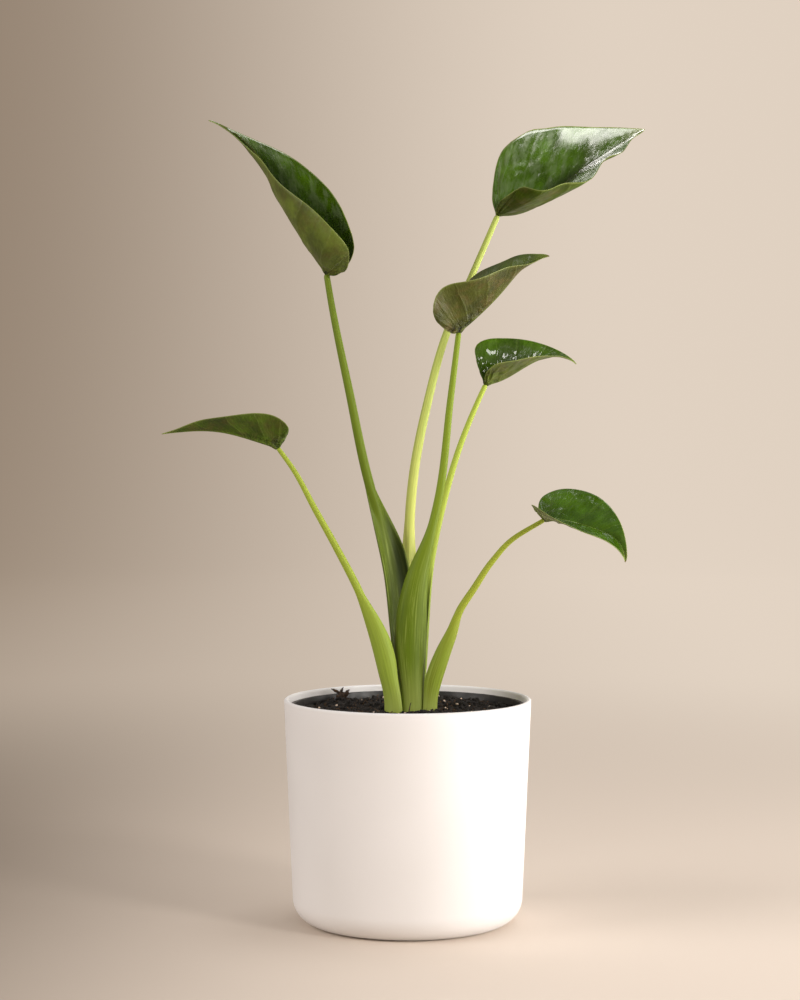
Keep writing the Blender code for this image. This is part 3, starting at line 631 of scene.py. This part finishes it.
def cover_pot():
    lip = (POT_RIM_RADIUS - POT_LIP_RADIUS, POT_HEIGHT - POT_LIP_RADIUS)
    inner_foot = POT_FOOT_RADIUS - POT_WALL
    foot = (POT_FOOT_RADIUS - POT_FOOT_ROUND, POT_FOOT_ROUND)
    inner_round = POT_FOOT_ROUND - POT_WALL
    profile = [(0.0, POT_FLOOR), (0.02, POT_FLOOR)]
    profile += arc((inner_foot - inner_round, POT_FLOOR + inner_round), inner_round, -90, 0, 12)
    inner_top = (lip[0] - POT_LIP_RADIUS, lip[1])
    profile += straight(profile[-1], inner_top, 8)
    profile += arc(lip, POT_LIP_RADIUS, 180, 0, 14)
    profile += straight(profile[-1], (POT_FOOT_RADIUS, POT_FOOT_ROUND), 10)
    profile += arc(foot, POT_FOOT_ROUND, 0, -84, 16)
    contact = profile[-1][0]
    profile += [(contact - 0.0012, 0.0), (contact - 0.0040, 0.0), (contact - 0.0052, 0.0006), (0.02, 0.0006)]
    profile += [(0.0, 0.0006)]
    stands_for(turned("cover_pot_shell", profile, POT_STEPS, ceramic_look()), "cover_pot", "cover_pot")


def inner_radius(z):
    """Outer radius of the nursery pot's wall at a height."""
    share = (z - INNER_BASE) / (INNER_RIM_TOP - INNER_BASE)
    return INNER_FOOT_RADIUS + (INNER_RIM_RADIUS - INNER_RIM_STEP - INNER_FOOT_RADIUS) * share


def nursery_pot():
    floor = INNER_BASE + INNER_WALL
    band = INNER_RIM_TOP - INNER_BAND
    top_inner = inner_radius(INNER_RIM_TOP) - INNER_WALL
    round_off = 0.00035
    profile = [(0.0, floor), (inner_radius(floor) - INNER_WALL, floor)]
    profile += straight(profile[-1], (top_inner, INNER_RIM_TOP - round_off), 8)
    profile += arc((top_inner + round_off, INNER_RIM_TOP - round_off), round_off, 180, 90, 4)
    profile += arc((INNER_RIM_RADIUS - round_off, INNER_RIM_TOP - round_off), round_off, 90, 0, 4)
    profile += [(INNER_RIM_RADIUS - 0.0003, band), (inner_radius(band), band - 0.0004)]
    profile += [(inner_radius(INNER_BASE) + 0.0002, INNER_BASE + 0.0015)]
    profile += [(inner_radius(INNER_BASE) - 0.0012, INNER_BASE), (0.0, INNER_BASE)]
    stands_for(turned("nursery_pot", profile, POT_STEPS, nursery_look()), "grower_pot", "grower_pot")


# Soil

def soil_height(x, y):
    """Height of the soil's top: a low dome with uneven ground."""
    r = math.hypot(x, y) / INNER_RIM_RADIUS
    rough = 0.0007 * math.sin(190 * x + 60 * y + 0.4) + 0.0006 * math.sin(240 * y - 90 * x + 1.3)
    rough += 0.0004 * math.sin(420 * x + 0.8) * math.sin(390 * y + 2.1)
    return SOIL_TOP + SOIL_DOME * (1 - r * r) + rough


def soil_bed(rings=90, segments=240):
    """The soil as one body: a crumbly top, the side and the bottom."""
    floor = INNER_BASE + INNER_WALL + SOIL_GAP
    top_radius = inner_radius(SOIL_TOP) - INNER_WALL - SOIL_GAP
    foot_radius = inner_radius(floor) - INNER_WALL - SOIL_GAP
    points = [(0.0, 0.0, soil_height(0, 0))]
    for x, y, ring in rings_of([(top_radius * ring / rings, ring) for ring in range(1, rings + 1)], segments):
        crumb = noise.noise(Vector((x, y, 0.3)) * 320) * 0.0009
        crumb += noise.noise(Vector((x, y, 1.7)) * 900) * 0.0004
        sink = 0.0012 * ease((ring / rings - 0.93) / 0.07)
        points.append((x, y, soil_height(x, y) + crumb - sink))
    points += rings_of([(foot_radius, floor)], segments) + [(0.0, 0.0, floor)]
    n = segments
    faces = [(0, 1 + k, 1 + (k + 1) % n) for k in range(n)] + ring_quads(rings + 1, n, 1)
    last = 1 + rings * n
    faces += [(last + (k + 1) % n, last + k, len(points) - 1) for k in range(n)]
    peat = soil_look("peat", (14, 10, 7), (46, 33, 22), 700.0)
    stands_for(mesh_piece("soil_bed", points, faces, [peat], 80), "soil", "soil")


def ico(subdivisions):
    """Points and faces of a unit ball of triangles."""
    g = (1 + 5**0.5) / 2
    points = [(-1, g, 0), (1, g, 0), (-1, -g, 0), (1, -g, 0), (0, -1, g), (0, 1, g), (0, -1, -g), (0, 1, -g),
              (g, 0, -1), (g, 0, 1), (-g, 0, -1), (-g, 0, 1)]
    points = [tuple(np.array(p) / np.linalg.norm(p)) for p in points]
    faces = [(0, 11, 5), (0, 5, 1), (0, 1, 7), (0, 7, 10), (0, 10, 11), (1, 5, 9), (5, 11, 4), (11, 10, 2),
             (10, 7, 6), (7, 1, 8), (3, 9, 4), (3, 4, 2), (3, 2, 6), (3, 6, 8), (3, 8, 9), (4, 9, 5),
             (2, 4, 11), (6, 2, 10), (8, 6, 7), (9, 8, 1)]
    for _ in range(subdivisions):
        made = {}

        def middle(a, b):
            key = (min(a, b), max(a, b))
            if key not in made:
                centre = np.array(points[a]) + np.array(points[b])
                points.append(tuple(centre / np.linalg.norm(centre)))
                made[key] = len(points) - 1
            return made[key]

        finer = []
        for a, b, c in faces:
            ab, bc, ca = middle(a, b), middle(b, c), middle(c, a)
            finer += [(a, ab, ca), (b, bc, ab), (c, ca, bc), (ab, bc, ca)]
        faces = finer
    return np.array(points), np.array(faces)


def near_a_stalk(x, y, room):
    """True where a grain would stand in a petiole's foot."""
    return any(math.hypot(x - leaf["path"][0][0], y - leaf["path"][0][1]) < leaf["foot"][0] + room
               for leaf in LEAVES.values())


def scatter(name, count, sizes, stretch, look, seed, sunk, subdivisions=0, jitter=0.25):
    """Uneven grains strewn over the soil inside the nursery pot, as one piece."""
    rng = np.random.default_rng(seed)
    base, base_faces = ico(subdivisions)
    limit = inner_radius(SOIL_TOP) - INNER_WALL - GRAIN_ROOM
    points, faces = [], []
    while len(faces) < count * len(base_faces):
        r, a = limit * math.sqrt(rng.random()), 2 * math.pi * rng.random()
        x, y = r * math.cos(a), r * math.sin(a)
        size = sizes[0] + (sizes[1] - sizes[0]) * rng.random() ** 2.2
        turn = np.array(Quaternion(unit(rng.normal(size=4))).to_matrix())
        shape = base * (1 + jitter * rng.uniform(-1, 1, size=(len(base), 1)))
        shape = shape * size * np.array([1.0, rng.uniform(*stretch), rng.uniform(*stretch)])
        if near_a_stalk(x, y, size * 0.8) or r + size > limit + GRAIN_OVERHANG:
            continue
        shape = shape @ turn.T + np.array([x, y, soil_height(x, y) + size * (0.5 - sunk)])
        start = len(points)
        points.extend(shape.tolist())
        faces.extend((base_faces + start).tolist())
    stands_for(mesh_piece(name, points, faces, [look], 35), "soil")


def soil_dressing():
    dark = soil_look("crumbs_dark", (13, 9, 6), (40, 28, 18), 1500.0)
    brown = soil_look("crumbs_brown", (52, 36, 20), (128, 94, 56), 1500.0)
    scatter("soil_crumbs", 2600, (0.0004, 0.0019), (0.5, 0.95), dark, 11, 0.25)
    scatter("brown_crumbs", 900, (0.0003, 0.0010), (0.25, 0.7), brown, 12, 0.00)
    scatter("wood_fibres", 220, (0.0008, 0.0022), (0.10, 0.20), brown, 13, -0.20)
    scatter("perlite_grains", 85, (0.0004, 0.0010), (0.7, 0.95), perlite_look(), 14, 0.05, 1, 0.16)


def bark_chip():
    """The chip that leans on the back left of the rim, split into splinters at its top."""
    look = bark_look()
    base, base_faces = ico(3)
    foot = np.array([*CHIP_AT, soil_height(*CHIP_AT) + 0.0018])
    points, faces = [], []
    shards = (
        ((0.0, 0.0, 0.0), (0.0030, 0.0017, 0.0024), 0.3, 12),
        ((-0.0026, 0.0000, 0.0030), (0.0034, 0.0006, 0.0008), 0.3, -28),
        ((0.0018, -0.0006, 0.0012), (0.0030, 0.0011, 0.0013), -0.2, 30),
        ((-0.0002, 0.0006, 0.0028), (0.0024, 0.0006, 0.0008), 0.2, 64),
        ((0.0028, 0.0002, 0.0026), (0.0022, 0.0005, 0.0007), 0.1, 38),
    )
    for offset, size, turn, lean in shards:
        shape = base.copy()
        wobble = [noise.noise(Vector(p) * 2.2 + Vector(offset) * 900) for p in shape.tolist()]
        shape = shape * (1 + 0.35 * np.array(wobble)[:, None]) * np.array(size)
        turned_by = np.array(Euler((0, -math.radians(lean), turn)).to_matrix())
        shape = shape @ turned_by.T + foot + np.array(offset)
        start = len(points)
        points.extend(shape.tolist())
        faces.extend((base_faces + start).tolist())
    stands_for(mesh_piece("bark_chip", points, faces, [look], 40), "soil")


def twig(stations=14, sides=10):
    """The thin dry twig that stands in front of the stalks, a closed tube that narrows upward."""
    low, high = np.array(TWIG_ENDS)
    shares = np.linspace(0, 1, stations)
    line = low + (high - low) * shares[:, None]
    line[:, 0] += 0.0005 * np.sin(shares * 5.0)
    forward = unit(np.gradient(line, axis=0))
    side = unit(np.cross(forward, (0.0, 1.0, 0.0)))
    up = np.cross(side, forward)
    points = []
    for centre, s, u, r in zip(line, side, up, TWIG_RADIUS * (1 - 0.6 * shares)):
        for a in np.linspace(0, 2 * math.pi, sides, endpoint=False):
            points.append(centre + (s * math.cos(a) + u * math.sin(a)) * r)
    faces = [(a, d, c, b) for a, b, c, d in ring_quads(stations, sides)]
    faces += [tuple(range(sides - 1, -1, -1)), tuple(range((stations - 1) * sides, stations * sides))]
    stands_for(mesh_piece("twig", points, faces, [bark_look()], 50), "soil")


# Blades

def blade_midrib(leaf, count=161):
    """Stations along the midrib, with their points, forward, up and sideways directions."""
    s = np.linspace(0, 1, count)
    pitch = np.radians(smooth_values(leaf["pitch"], s)[:, 0])
    heading = np.radians(leaf["heading"] + leaf["sweep"] * s)
    roll = np.radians(leaf["roll"][0] + (leaf["roll"][1] - leaf["roll"][0]) * s)[:, None]
    flat = np.stack([np.cos(heading), np.sin(heading)], 1)
    forward = np.column_stack([flat * np.cos(pitch)[:, None], np.sin(pitch)])
    upright = np.column_stack([-flat * np.sin(pitch)[:, None], np.cos(pitch)])
    level = np.cross(forward, upright)
    steps = (forward[1:] + forward[:-1]) / 2 * leaf["length"] / (count - 1)
    points = np.array(leaf["at"]) + np.vstack([np.zeros(3), np.cumsum(steps, 0)])
    up = upright * np.cos(roll) + level * np.sin(roll)
    side = level * np.cos(roll) - upright * np.sin(roll)
    return s, points, forward, up, side


def read_along(values, stations, at):
    """Directions or points given at stations, read at other shares."""
    return np.stack([np.interp(at, stations, values[:, k]) for k in range(3)], 1)


def blade_outline(leaf, rows):
    """Where each row leaves the midrib and how far ahead it ends, as shares of the length; how far out."""
    root, ahead, out = smooth_values(OUTLINE, rows).T
    lobe_length, lobe_width = leaf["lobe"]
    drip, drip_from = leaf["drip"]
    out = np.maximum(out, 0) ** (1 + (leaf["full"] - 1) * np.clip(ahead / 0.3, 0, 1))
    out = out * (1 + (lobe_width - 1) * (1 - ease((ahead + 0.05) / 0.3)))
    out = out * leaf["width"] * (1 - drip * ease((ahead - drip_from) / DRIP_SPAN))
    least = TIP_HALF_WIDTH * np.sqrt(np.clip(1 - ahead, 0, 1)) * ease((ahead - 0.4) / 0.3)
    ahead = np.where(ahead < 0, ahead * lobe_length, ahead)
    return np.clip(root, 0, 1), ahead, np.maximum(out, least)


def folded(leaf, sign, rows, columns):
    """Run and rise of each row's section, as shares of its reach; its slope changes towards the margin."""
    inner, outer = leaf["right"] if sign > 0 else leaf["left"]
    slope_in = np.radians(smooth_values(inner, rows))
    slope_out = np.radians(smooth_values(outer, rows))
    fine = np.linspace(0, 1, FOLD_STEPS)
    slope = slope_in + (slope_out - slope_in) * fine**FOLD_POWER
    sections = []
    for parts in (np.cos(slope), np.sin(slope)):
        middle = (parts[:, 1:] + parts[:, :-1]) / 2 / (FOLD_STEPS - 1)
        total = np.cumsum(np.column_stack([np.zeros(len(rows)), middle]), 1)
        sections.append(np.stack([np.interp(columns, fine, row) for row in total]))
    return sections


def folded_half(leaf, sign, rows, columns):
    """One half blade, folded and still smooth, as a grid of points; sign is 1 on the right of the heading."""
    s, rib, forward, up, side = blade_midrib(leaf)
    root, ahead, out = blade_outline(leaf, rows)
    start = read_along(rib, s, root)
    up_dir, side_dir = read_along(up, s, root), read_along(side, s, root)
    cup = math.radians(leaf["cup"])
    lobe_axis = read_along(forward, s, root) * math.cos(cup) - up_dir * math.sin(cup)
    reach = ((ahead - root) * leaf["length"])[:, None]
    spine = np.where(reach < 0, lobe_axis * reach, read_along(rib, s, np.clip(ahead, 0, 1)) - start)
    run, rise = folded(leaf, sign, rows, columns)
    grid = start[:, None] + spine[:, None] * (columns**VEIN_BOW)[None, :, None]
    grid = grid + (sign * run * out[:, None])[..., None] * side_dir[:, None]
    grid = grid + (rise * out[:, None])[..., None] * up_dir[:, None]
    return grid


def blade_half(leaf, sign, rows, columns, pucker):
    """Upper side of one half blade: its folded shape, evened out towards the margin, with its relief."""
    window = np.minimum(EVEN_ROWS, np.minimum(rows, 1 - rows))
    grid = folded_half(leaf, sign, rows, columns)
    nearby = [folded_half(leaf, sign, rows + window * step, columns) for step in EVEN_STEPS]
    grid = grid + (np.mean(nearby, axis=0) - grid) * columns[None, :, None]
    out = blade_outline(leaf, rows)[2]
    raised = relief(leaf, sign, rows, columns, out) + dimples(grid, rows, columns, out, leaf, pucker)
    return grid + raised[..., None] * grid_normals(grid, sign)


def relief(leaf, sign, rows, columns, out):
    """Pillows between the veins, and waves that grow towards the margin."""
    share = np.minimum(out / leaf["width"] * 2.5, 1.0)[:, None]
    swell = 1 - (1 - np.abs(np.sin(math.pi * VEINS * rows))) ** 1.6
    pillow = PILLOW_HEIGHT * swell[:, None] * np.sin(math.pi * columns)[None, :]
    right_height, left_height, phase, count = leaf["wave"]
    height = right_height if sign > 0 else left_height
    turn = 2 * math.pi * count * rows + phase + sign * math.pi / 2
    wave = height * np.sin(turn)[:, None] * columns[None, :] ** 2
    return (pillow + wave) * share


def dimples(grid, rows, columns, out, leaf, height):
    """Small uneven puckers, strongest near the base and away from the margin."""
    values = np.array([noise.noise(Vector(p) * 260) for p in grid.reshape(-1, 3).tolist()])
    fade = (1 - ease((rows - 0.35) / 0.5))[:, None] * ((1 - columns**4) * np.minimum(columns * 6, 1))[None, :]
    narrow = np.minimum(out / leaf["width"] * 2, 1.0)[:, None]
    return values.reshape(grid.shape[:2]) * height * 2 * fade * narrow


def grid_normals(grid, sign):
    """Unit normals of a grid on its upper side."""
    normal = sign * np.cross(np.gradient(grid, axis=1), np.gradient(grid, axis=0))
    size = np.linalg.norm(normal, axis=-1, keepdims=True)
    normal = np.where(size > 1e-14, normal / np.maximum(size, 1e-14), 0.0)
    normal[0], normal[-1] = normal[1], normal[-2]
    return unit(normal + 1e-9)


def blade_columns():
    """Shares from the midrib to the margin, closer together near both."""
    t = np.linspace(0, 1, BLADE_COLUMNS)
    return 0.55 * t**1.9 + 0.45 * (1 - (1 - t) ** 1.5) * t**0.3


def blade_thickness(leaf, rows, root, upper, from_rib):
    """Thickness over the grid: thin at the margin, with the keel, the swelling at the stalk and the veins."""
    to_margin = from_rib[:, -1:] - from_rib
    from_base = np.linalg.norm(upper - np.array(leaf["at"]), axis=2)
    thick = BLADE_MARGIN + (BLADE_MIDDLE - BLADE_MARGIN) * ease(to_margin / MARGIN_TAPER)
    keel_width = KEEL_WIDTH + KEEL_SPREAD * (1 - root)[:, None]
    thick = thick + MIDRIB_DEPTH * (1 - root[:, None]) ** 0.7 * (1 - ease(from_rib / keel_width))
    thick = thick + KNUCKLE_HEIGHT * (1 - ease(from_base / KNUCKLE_RADIUS))
    vein = np.maximum(np.cos(2 * math.pi * VEINS * rows), 0)[:, None] ** VEIN_SHARPNESS
    vein = vein * np.minimum(from_rib / VEIN_FADE[0], 1) * ease(to_margin / VEIN_FADE[1])
    return thick + VEIN_HEIGHT * vein


def blade_side(leaf, sign, rows, pucker):
    """One half blade: grids of both its sides, its rim's middle, and each point's way from the midrib."""
    root = blade_outline(leaf, rows)[0]
    stations, _, forward, up, _ = blade_midrib(leaf)
    keel_up = read_along(up, stations, root)
    upper = blade_half(leaf, sign, rows, blade_columns(), pucker)
    steps = np.linalg.norm(np.diff(upper, axis=1), axis=2)
    from_rib = np.concatenate([np.zeros((len(rows), 1)), np.cumsum(steps, 1)], 1)
    near_rib = 1 - ease(from_rib / KEEL_REACH)[..., None]
    normal = unit(grid_normals(upper, sign) * (1 - near_rib) + keel_up[:, None] * near_rib)
    normal[0], normal[-1] = keel_up[0], keel_up[-1]
    lower = upper - normal * blade_thickness(leaf, rows, root, upper, from_rib)[..., None]
    outward = upper[:, -1] - upper[:, -2]
    outward[-1] = forward[-1]
    middle = (upper[:, -1] + lower[:, -1]) / 2 + unit(outward + 1e-9) * BLADE_MARGIN * 0.5
    return upper, lower, middle, from_rib


def grid_quads(ids, flip):
    """Quads of a grid of point numbers, turned over on request."""
    quads = np.stack([ids[:-1, :-1], ids[:-1, 1:], ids[1:, 1:], ids[1:, :-1]], -1).reshape(-1, 4)
    return quads[:, ::-1] if flip else quads


def blade(key, leaf, looks_of):
    """A closed blade: upper side, underside with its keel and swelling at the stalk, and a rounded rim."""
    rows = np.linspace(0, 1, BLADE_ROWS)
    points, faces, kinds, maps = [], [], [], []
    for sign in (1, -1):
        upper, lower, middle, from_rib = blade_side(leaf, sign, rows, looks_of["pucker"])
        upper_ids = len(points) + np.arange(from_rib.size).reshape(from_rib.shape)
        lower_ids = upper_ids + from_rib.size
        middle_ids = lower_ids[-1, -1] + 1 + np.arange(len(rows))
        for part in (upper, lower, middle):
            points.extend(part.reshape(-1, 3).tolist())
        to_margin = from_rib[:, -1:] - from_rib
        facts = np.stack([rows[:, None] + 0 * from_rib, from_rib * 1000, to_margin * 1000], -1)
        rim_ids = np.stack([upper_ids[:, -1], middle_ids, lower_ids[:, -1]])
        rim_facts = np.stack([facts[:, -1]] * 3)
        for ids, values, kind, flip in ((upper_ids, facts, 0, sign < 0), (lower_ids, facts, 1, sign > 0),
                                        (rim_ids, rim_facts, 1, sign > 0)):
            quads = grid_quads(np.arange(ids.size).reshape(ids.shape), flip)
            faces.extend(ids.reshape(-1)[quads].tolist())
            maps.extend(values.reshape(-1, 3)[quads])
            kinds.extend([kind] * len(quads))
    looks = [blade_upper_look(key, looks_of), blade_under_look(key, looks_of)]
    obj = welded_piece(f"leaf_{key}", np.array(points), faces, kinds, maps, looks)
    stands_for(obj, "blade", f"blade_{key}")


def welded_piece(name, points, faces, kinds, maps, looks):
    """A piece with its doubled points made one, its collapsed faces dropped and its map on the corners."""
    _, first, index = np.unique(np.round(points / 2e-6).astype(np.int64), axis=0, return_index=True,
                                return_inverse=True)
    index = index.reshape(-1)
    kept, kept_kinds, kept_maps = [], [], []
    for face, kind, facts in zip(faces, kinds, maps):
        corners = {}
        for v, fact in zip(face, facts):
            corners.setdefault(int(index[v]), []).append(fact)
        if len(corners) > 2:
            kept.append(list(corners))
            kept_kinds.append(kind)
            kept_maps.extend(sum(met) / len(met) for met in corners.values())
    obj = mesh_piece(name, points[first], kept, looks, 70)
    obj.data.polygons.foreach_set("material_index", kept_kinds)
    layer = obj.data.attributes.new("leaf_map", "FLOAT_VECTOR", "CORNER")
    layer.data.foreach_set("vector", np.array(kept_maps, np.float32).reshape(-1))
    return obj


# Petioles

def petiole_line(leaf):
    """Points up the petiole: straight in the soil, then through its path and into the blade's keel."""
    up, at, last = blade_midrib(leaf)[3][0], np.array(leaf["at"]), np.array(leaf["path"][-1])
    down = unit(unit(last - at) - up)
    tip = at + down * BLADE_MIDDLE * 1.2 / -(down @ up)
    knots = np.vstack([leaf["path"], tip])
    z = knots[:, 2]
    slopes = np.gradient(knots, z, axis=0)
    slopes[0] = (0, 0, 1)
    dense = [knots[0] - np.array([0, 0, knots[0][2] - SOIL_TOP + PLUG_DEPTH])]
    for i in range(len(knots) - 1):
        step = z[i + 1] - z[i]
        for f in np.linspace(0, 1, 40, endpoint=i == len(knots) - 2):
            place = (1 + 2 * f) * (1 - f) ** 2 * knots[i] + f * f * (3 - 2 * f) * knots[i + 1]
            dense.append(place + step * (f * (1 - f) ** 2 * slopes[i] - f * f * (1 - f) * slopes[i + 1]))
    dense = np.array(dense)
    travelled = np.concatenate([[0.0], np.cumsum(np.linalg.norm(np.diff(dense, axis=0), axis=1))])
    wanted = np.linspace(0, travelled[-1], STALK_STATIONS)
    return read_along(dense, travelled, wanted), wanted


def petiole_section(leaf, z):
    """Outline of the petiole at a height, and how far it is open: an oval that becomes a crescent."""
    ends, widest, half_width, _ = leaf["sheath"]
    low, high = leaf["radii"]
    up_share = min(max((z - SOIL_TOP) / (leaf["at"][2] - SOIL_TOP), 0.0), 1.0)
    round_radius = low + (high - low) * up_share**1.4
    foot = 1 - ease((z - SOIL_TOP) / (widest - SOIL_TOP))
    across, along = (round_radius + (size + FOOT_SPREAD - round_radius) * foot for size in leaf["foot"])
    rising = ease((z - SOIL_TOP) / (widest - SOIL_TOP) * SHEATH_RISE)
    opened = rising * ease((ends - z) / (ends - widest)) ** SHEATH_TOP
    reach = across + (half_width - across) * opened
    wrap = math.radians(90 + (WING_WRAP - 90) * opened)
    thick = 2 * along * (1 - opened) + SHEATH_WALL * round_radius * opened

    q = np.linspace(-1, 1, STALK_OUTER) * wrap
    outer = np.stack([reach * np.sin(q), (1 - np.cos(q)) * (reach * opened + along * (1 - opened))], 1)
    p = np.linspace(0.975, -0.975, STALK_INNER)
    wall = WING_EDGE + (thick - WING_EDGE) * (1 - p * p)
    p = p * wrap
    closed = np.stack([across * np.sin(p), along * (1 + np.cos(p))], 1)
    crescent = np.stack([(reach - (WING_EDGE + wall) / 2) * np.sin(p), reach - (reach - wall) * np.cos(p)], 1)
    outline = np.concatenate([outer, closed * (1 - opened) + crescent * opened])
    outline[:, 1] -= along
    return outline, opened


def petiole(key, leaf, looks_of):
    line, travelled = petiole_line(leaf)
    forward = unit(np.gradient(line, axis=0))
    turn = math.radians(leaf["sheath"][3])
    opens = np.array([math.cos(turn), math.sin(turn), 0.0])
    along_it = unit(opens - forward * (forward @ opens)[:, None])
    across = np.cross(forward, along_it)
    count = STALK_OUTER + STALK_INNER
    angles = np.linspace(0, 2 * math.pi, count, endpoint=False)
    share = np.concatenate([np.linspace(-1, 1, STALK_OUTER), np.linspace(1, -1, STALK_INNER)])
    inside = np.concatenate([np.zeros(STALK_OUTER), np.ones(STALK_INNER)])
    span = leaf["at"][2] - SOIL_TOP
    points, rounds, facts = [], [], []
    end_shrink = 1 - STALK_END_SHRINK * ease((travelled - travelled[-1]) / STALK_END + 1)
    for centre, o, n, distance, shrink in zip(line, along_it, across, travelled, end_shrink):
        outline, opened = petiole_section(leaf, centre[2])
        ridge = 1 + RIDGE_HEIGHT * np.sin(angles * STALK_RIDGES + 0.6 * math.sin(distance * 60))
        for (x, y), ridged, a, q, painted_hollow_shade in zip(outline, ridge, angles, share, inside):
            points.append(centre + (n * x + o * y) * shrink * ridged)
            rounds.append((2.2 * math.cos(a), 2.2 * math.sin(a), distance * 9.0))
            # painted shade on the hollow side of the sheath, darkest towards one wing
            shade = HOLLOW_SHADE * ease((q + 0.15) / 0.7)
            facts.append(((centre[2] - SOIL_TOP) / span, abs(q) * opened, painted_hollow_shade * opened * shade))
    faces = [tuple(range(count)), tuple(range(count * len(line) - 1, count * (len(line) - 1) - 1, -1))]
    faces += ring_quads(len(line), count)
    obj = mesh_piece(f"stalk_{key}", points, faces, [stalk_look(key, looks_of)], 75)
    for name, values in (("stalk_round", rounds), ("stalk_facts", facts)):
        layer = obj.data.attributes.new(name, "FLOAT_VECTOR", "POINT")
        layer.data.foreach_set("vector", np.array(values, np.float32).reshape(-1))
    stands_for(obj, f"petiole_{key}", f"petiole_{key}")


# Stage, lights and camera

def stage():
    """A pale floor that curves up far behind, all the way round, so that no view sees its edge."""
    flat, bend, height = 2.6, 1.0, 3.6
    profile = [(0.0, 0.0)] + [(r, 0.0) for r in np.linspace(0.2, flat, 14)]
    profile += arc((flat, bend), bend, -90, 0, 20)[1:] + [(flat + bend, height)]
    segments = 96
    points = rings_of(profile[1:], segments) + [(0.0, 0.0, 0.0)]
    faces = ring_quads(len(profile) - 1, segments)
    faces += [(len(points) - 1, k, (k + 1) % segments) for k in range(segments)]
    mesh_piece("studio_floor", points, faces, [backdrop_look()], 60)


def area_light(name, place, target, size, power, colour, depth=None):
    data = bpy.data.lights.new(name, "AREA")
    data.energy = power
    data.color = srgb(colour)[:3]
    data.size = size
    if depth:
        data.shape, data.size_y = "RECTANGLE", depth
    lamp = bpy.data.objects.new(name, data)
    lamp.location = place
    aim = Vector(target) - Vector(place)
    lamp.rotation_euler = aim.to_track_quat("-Z", "Y").to_euler()
    lamp.visible_camera = False
    bpy.context.scene.collection.objects.link(lamp)


def lights():
    area_light("key", (1.35, -1.30, 0.78), (0.0, 0.0, 0.22), 0.40, 15.0, (255, 250, 246))
    area_light("low_card", (0.80, -0.17, 0.20), (0.06, 0.03, 0.46), 0.66, 5.0, (255, 252, 250), 0.38)
    area_light("floor_card", (0.72, -0.14, 0.005), (0.72, -0.14, 1.0), 0.50, 3.0, (255, 252, 250), 0.45)
    area_light("soft_top", (0.45, 0.45, 1.9), (0.0, 0.0, 0.25), 0.8, 8.0, (255, 252, 250))
    area_light("left_card", (-1.15, -0.46, 0.72), (-0.03, 0.0, 0.35), 0.8, 10.0, (255, 250, 246))
    world = bpy.data.worlds.new("studio")
    bpy.context.scene.world = world
    world.use_nodes = True
    background = world.node_tree.nodes["Background"]
    background.inputs["Color"].default_value = srgb((246, 248, 250))
    background.inputs["Strength"].default_value = 0.28


def camera():
    data = bpy.data.cameras.new("camera")
    data.lens = CAMERA_LENS
    data.sensor_width = 36.0
    made = bpy.data.objects.new("camera", data)
    made.location = CAMERA_AT
    made.rotation_euler = (math.radians(90 - CAMERA_DOWN), 0.0, 0.0)
    bpy.context.scene.collection.objects.link(made)
    bpy.context.scene.camera = made
    bpy.context.scene.view_settings.view_transform = "Standard"


def main():
    camera()
    cover_pot()
    nursery_pot()
    soil_bed()
    soil_dressing()
    bark_chip()
    twig()
    for key, leaf in LEAVES.items():
        petiole(key, leaf, LOOKS[key])
        blade(key, leaf, LOOKS[key])
    stage()
    lights()


main()
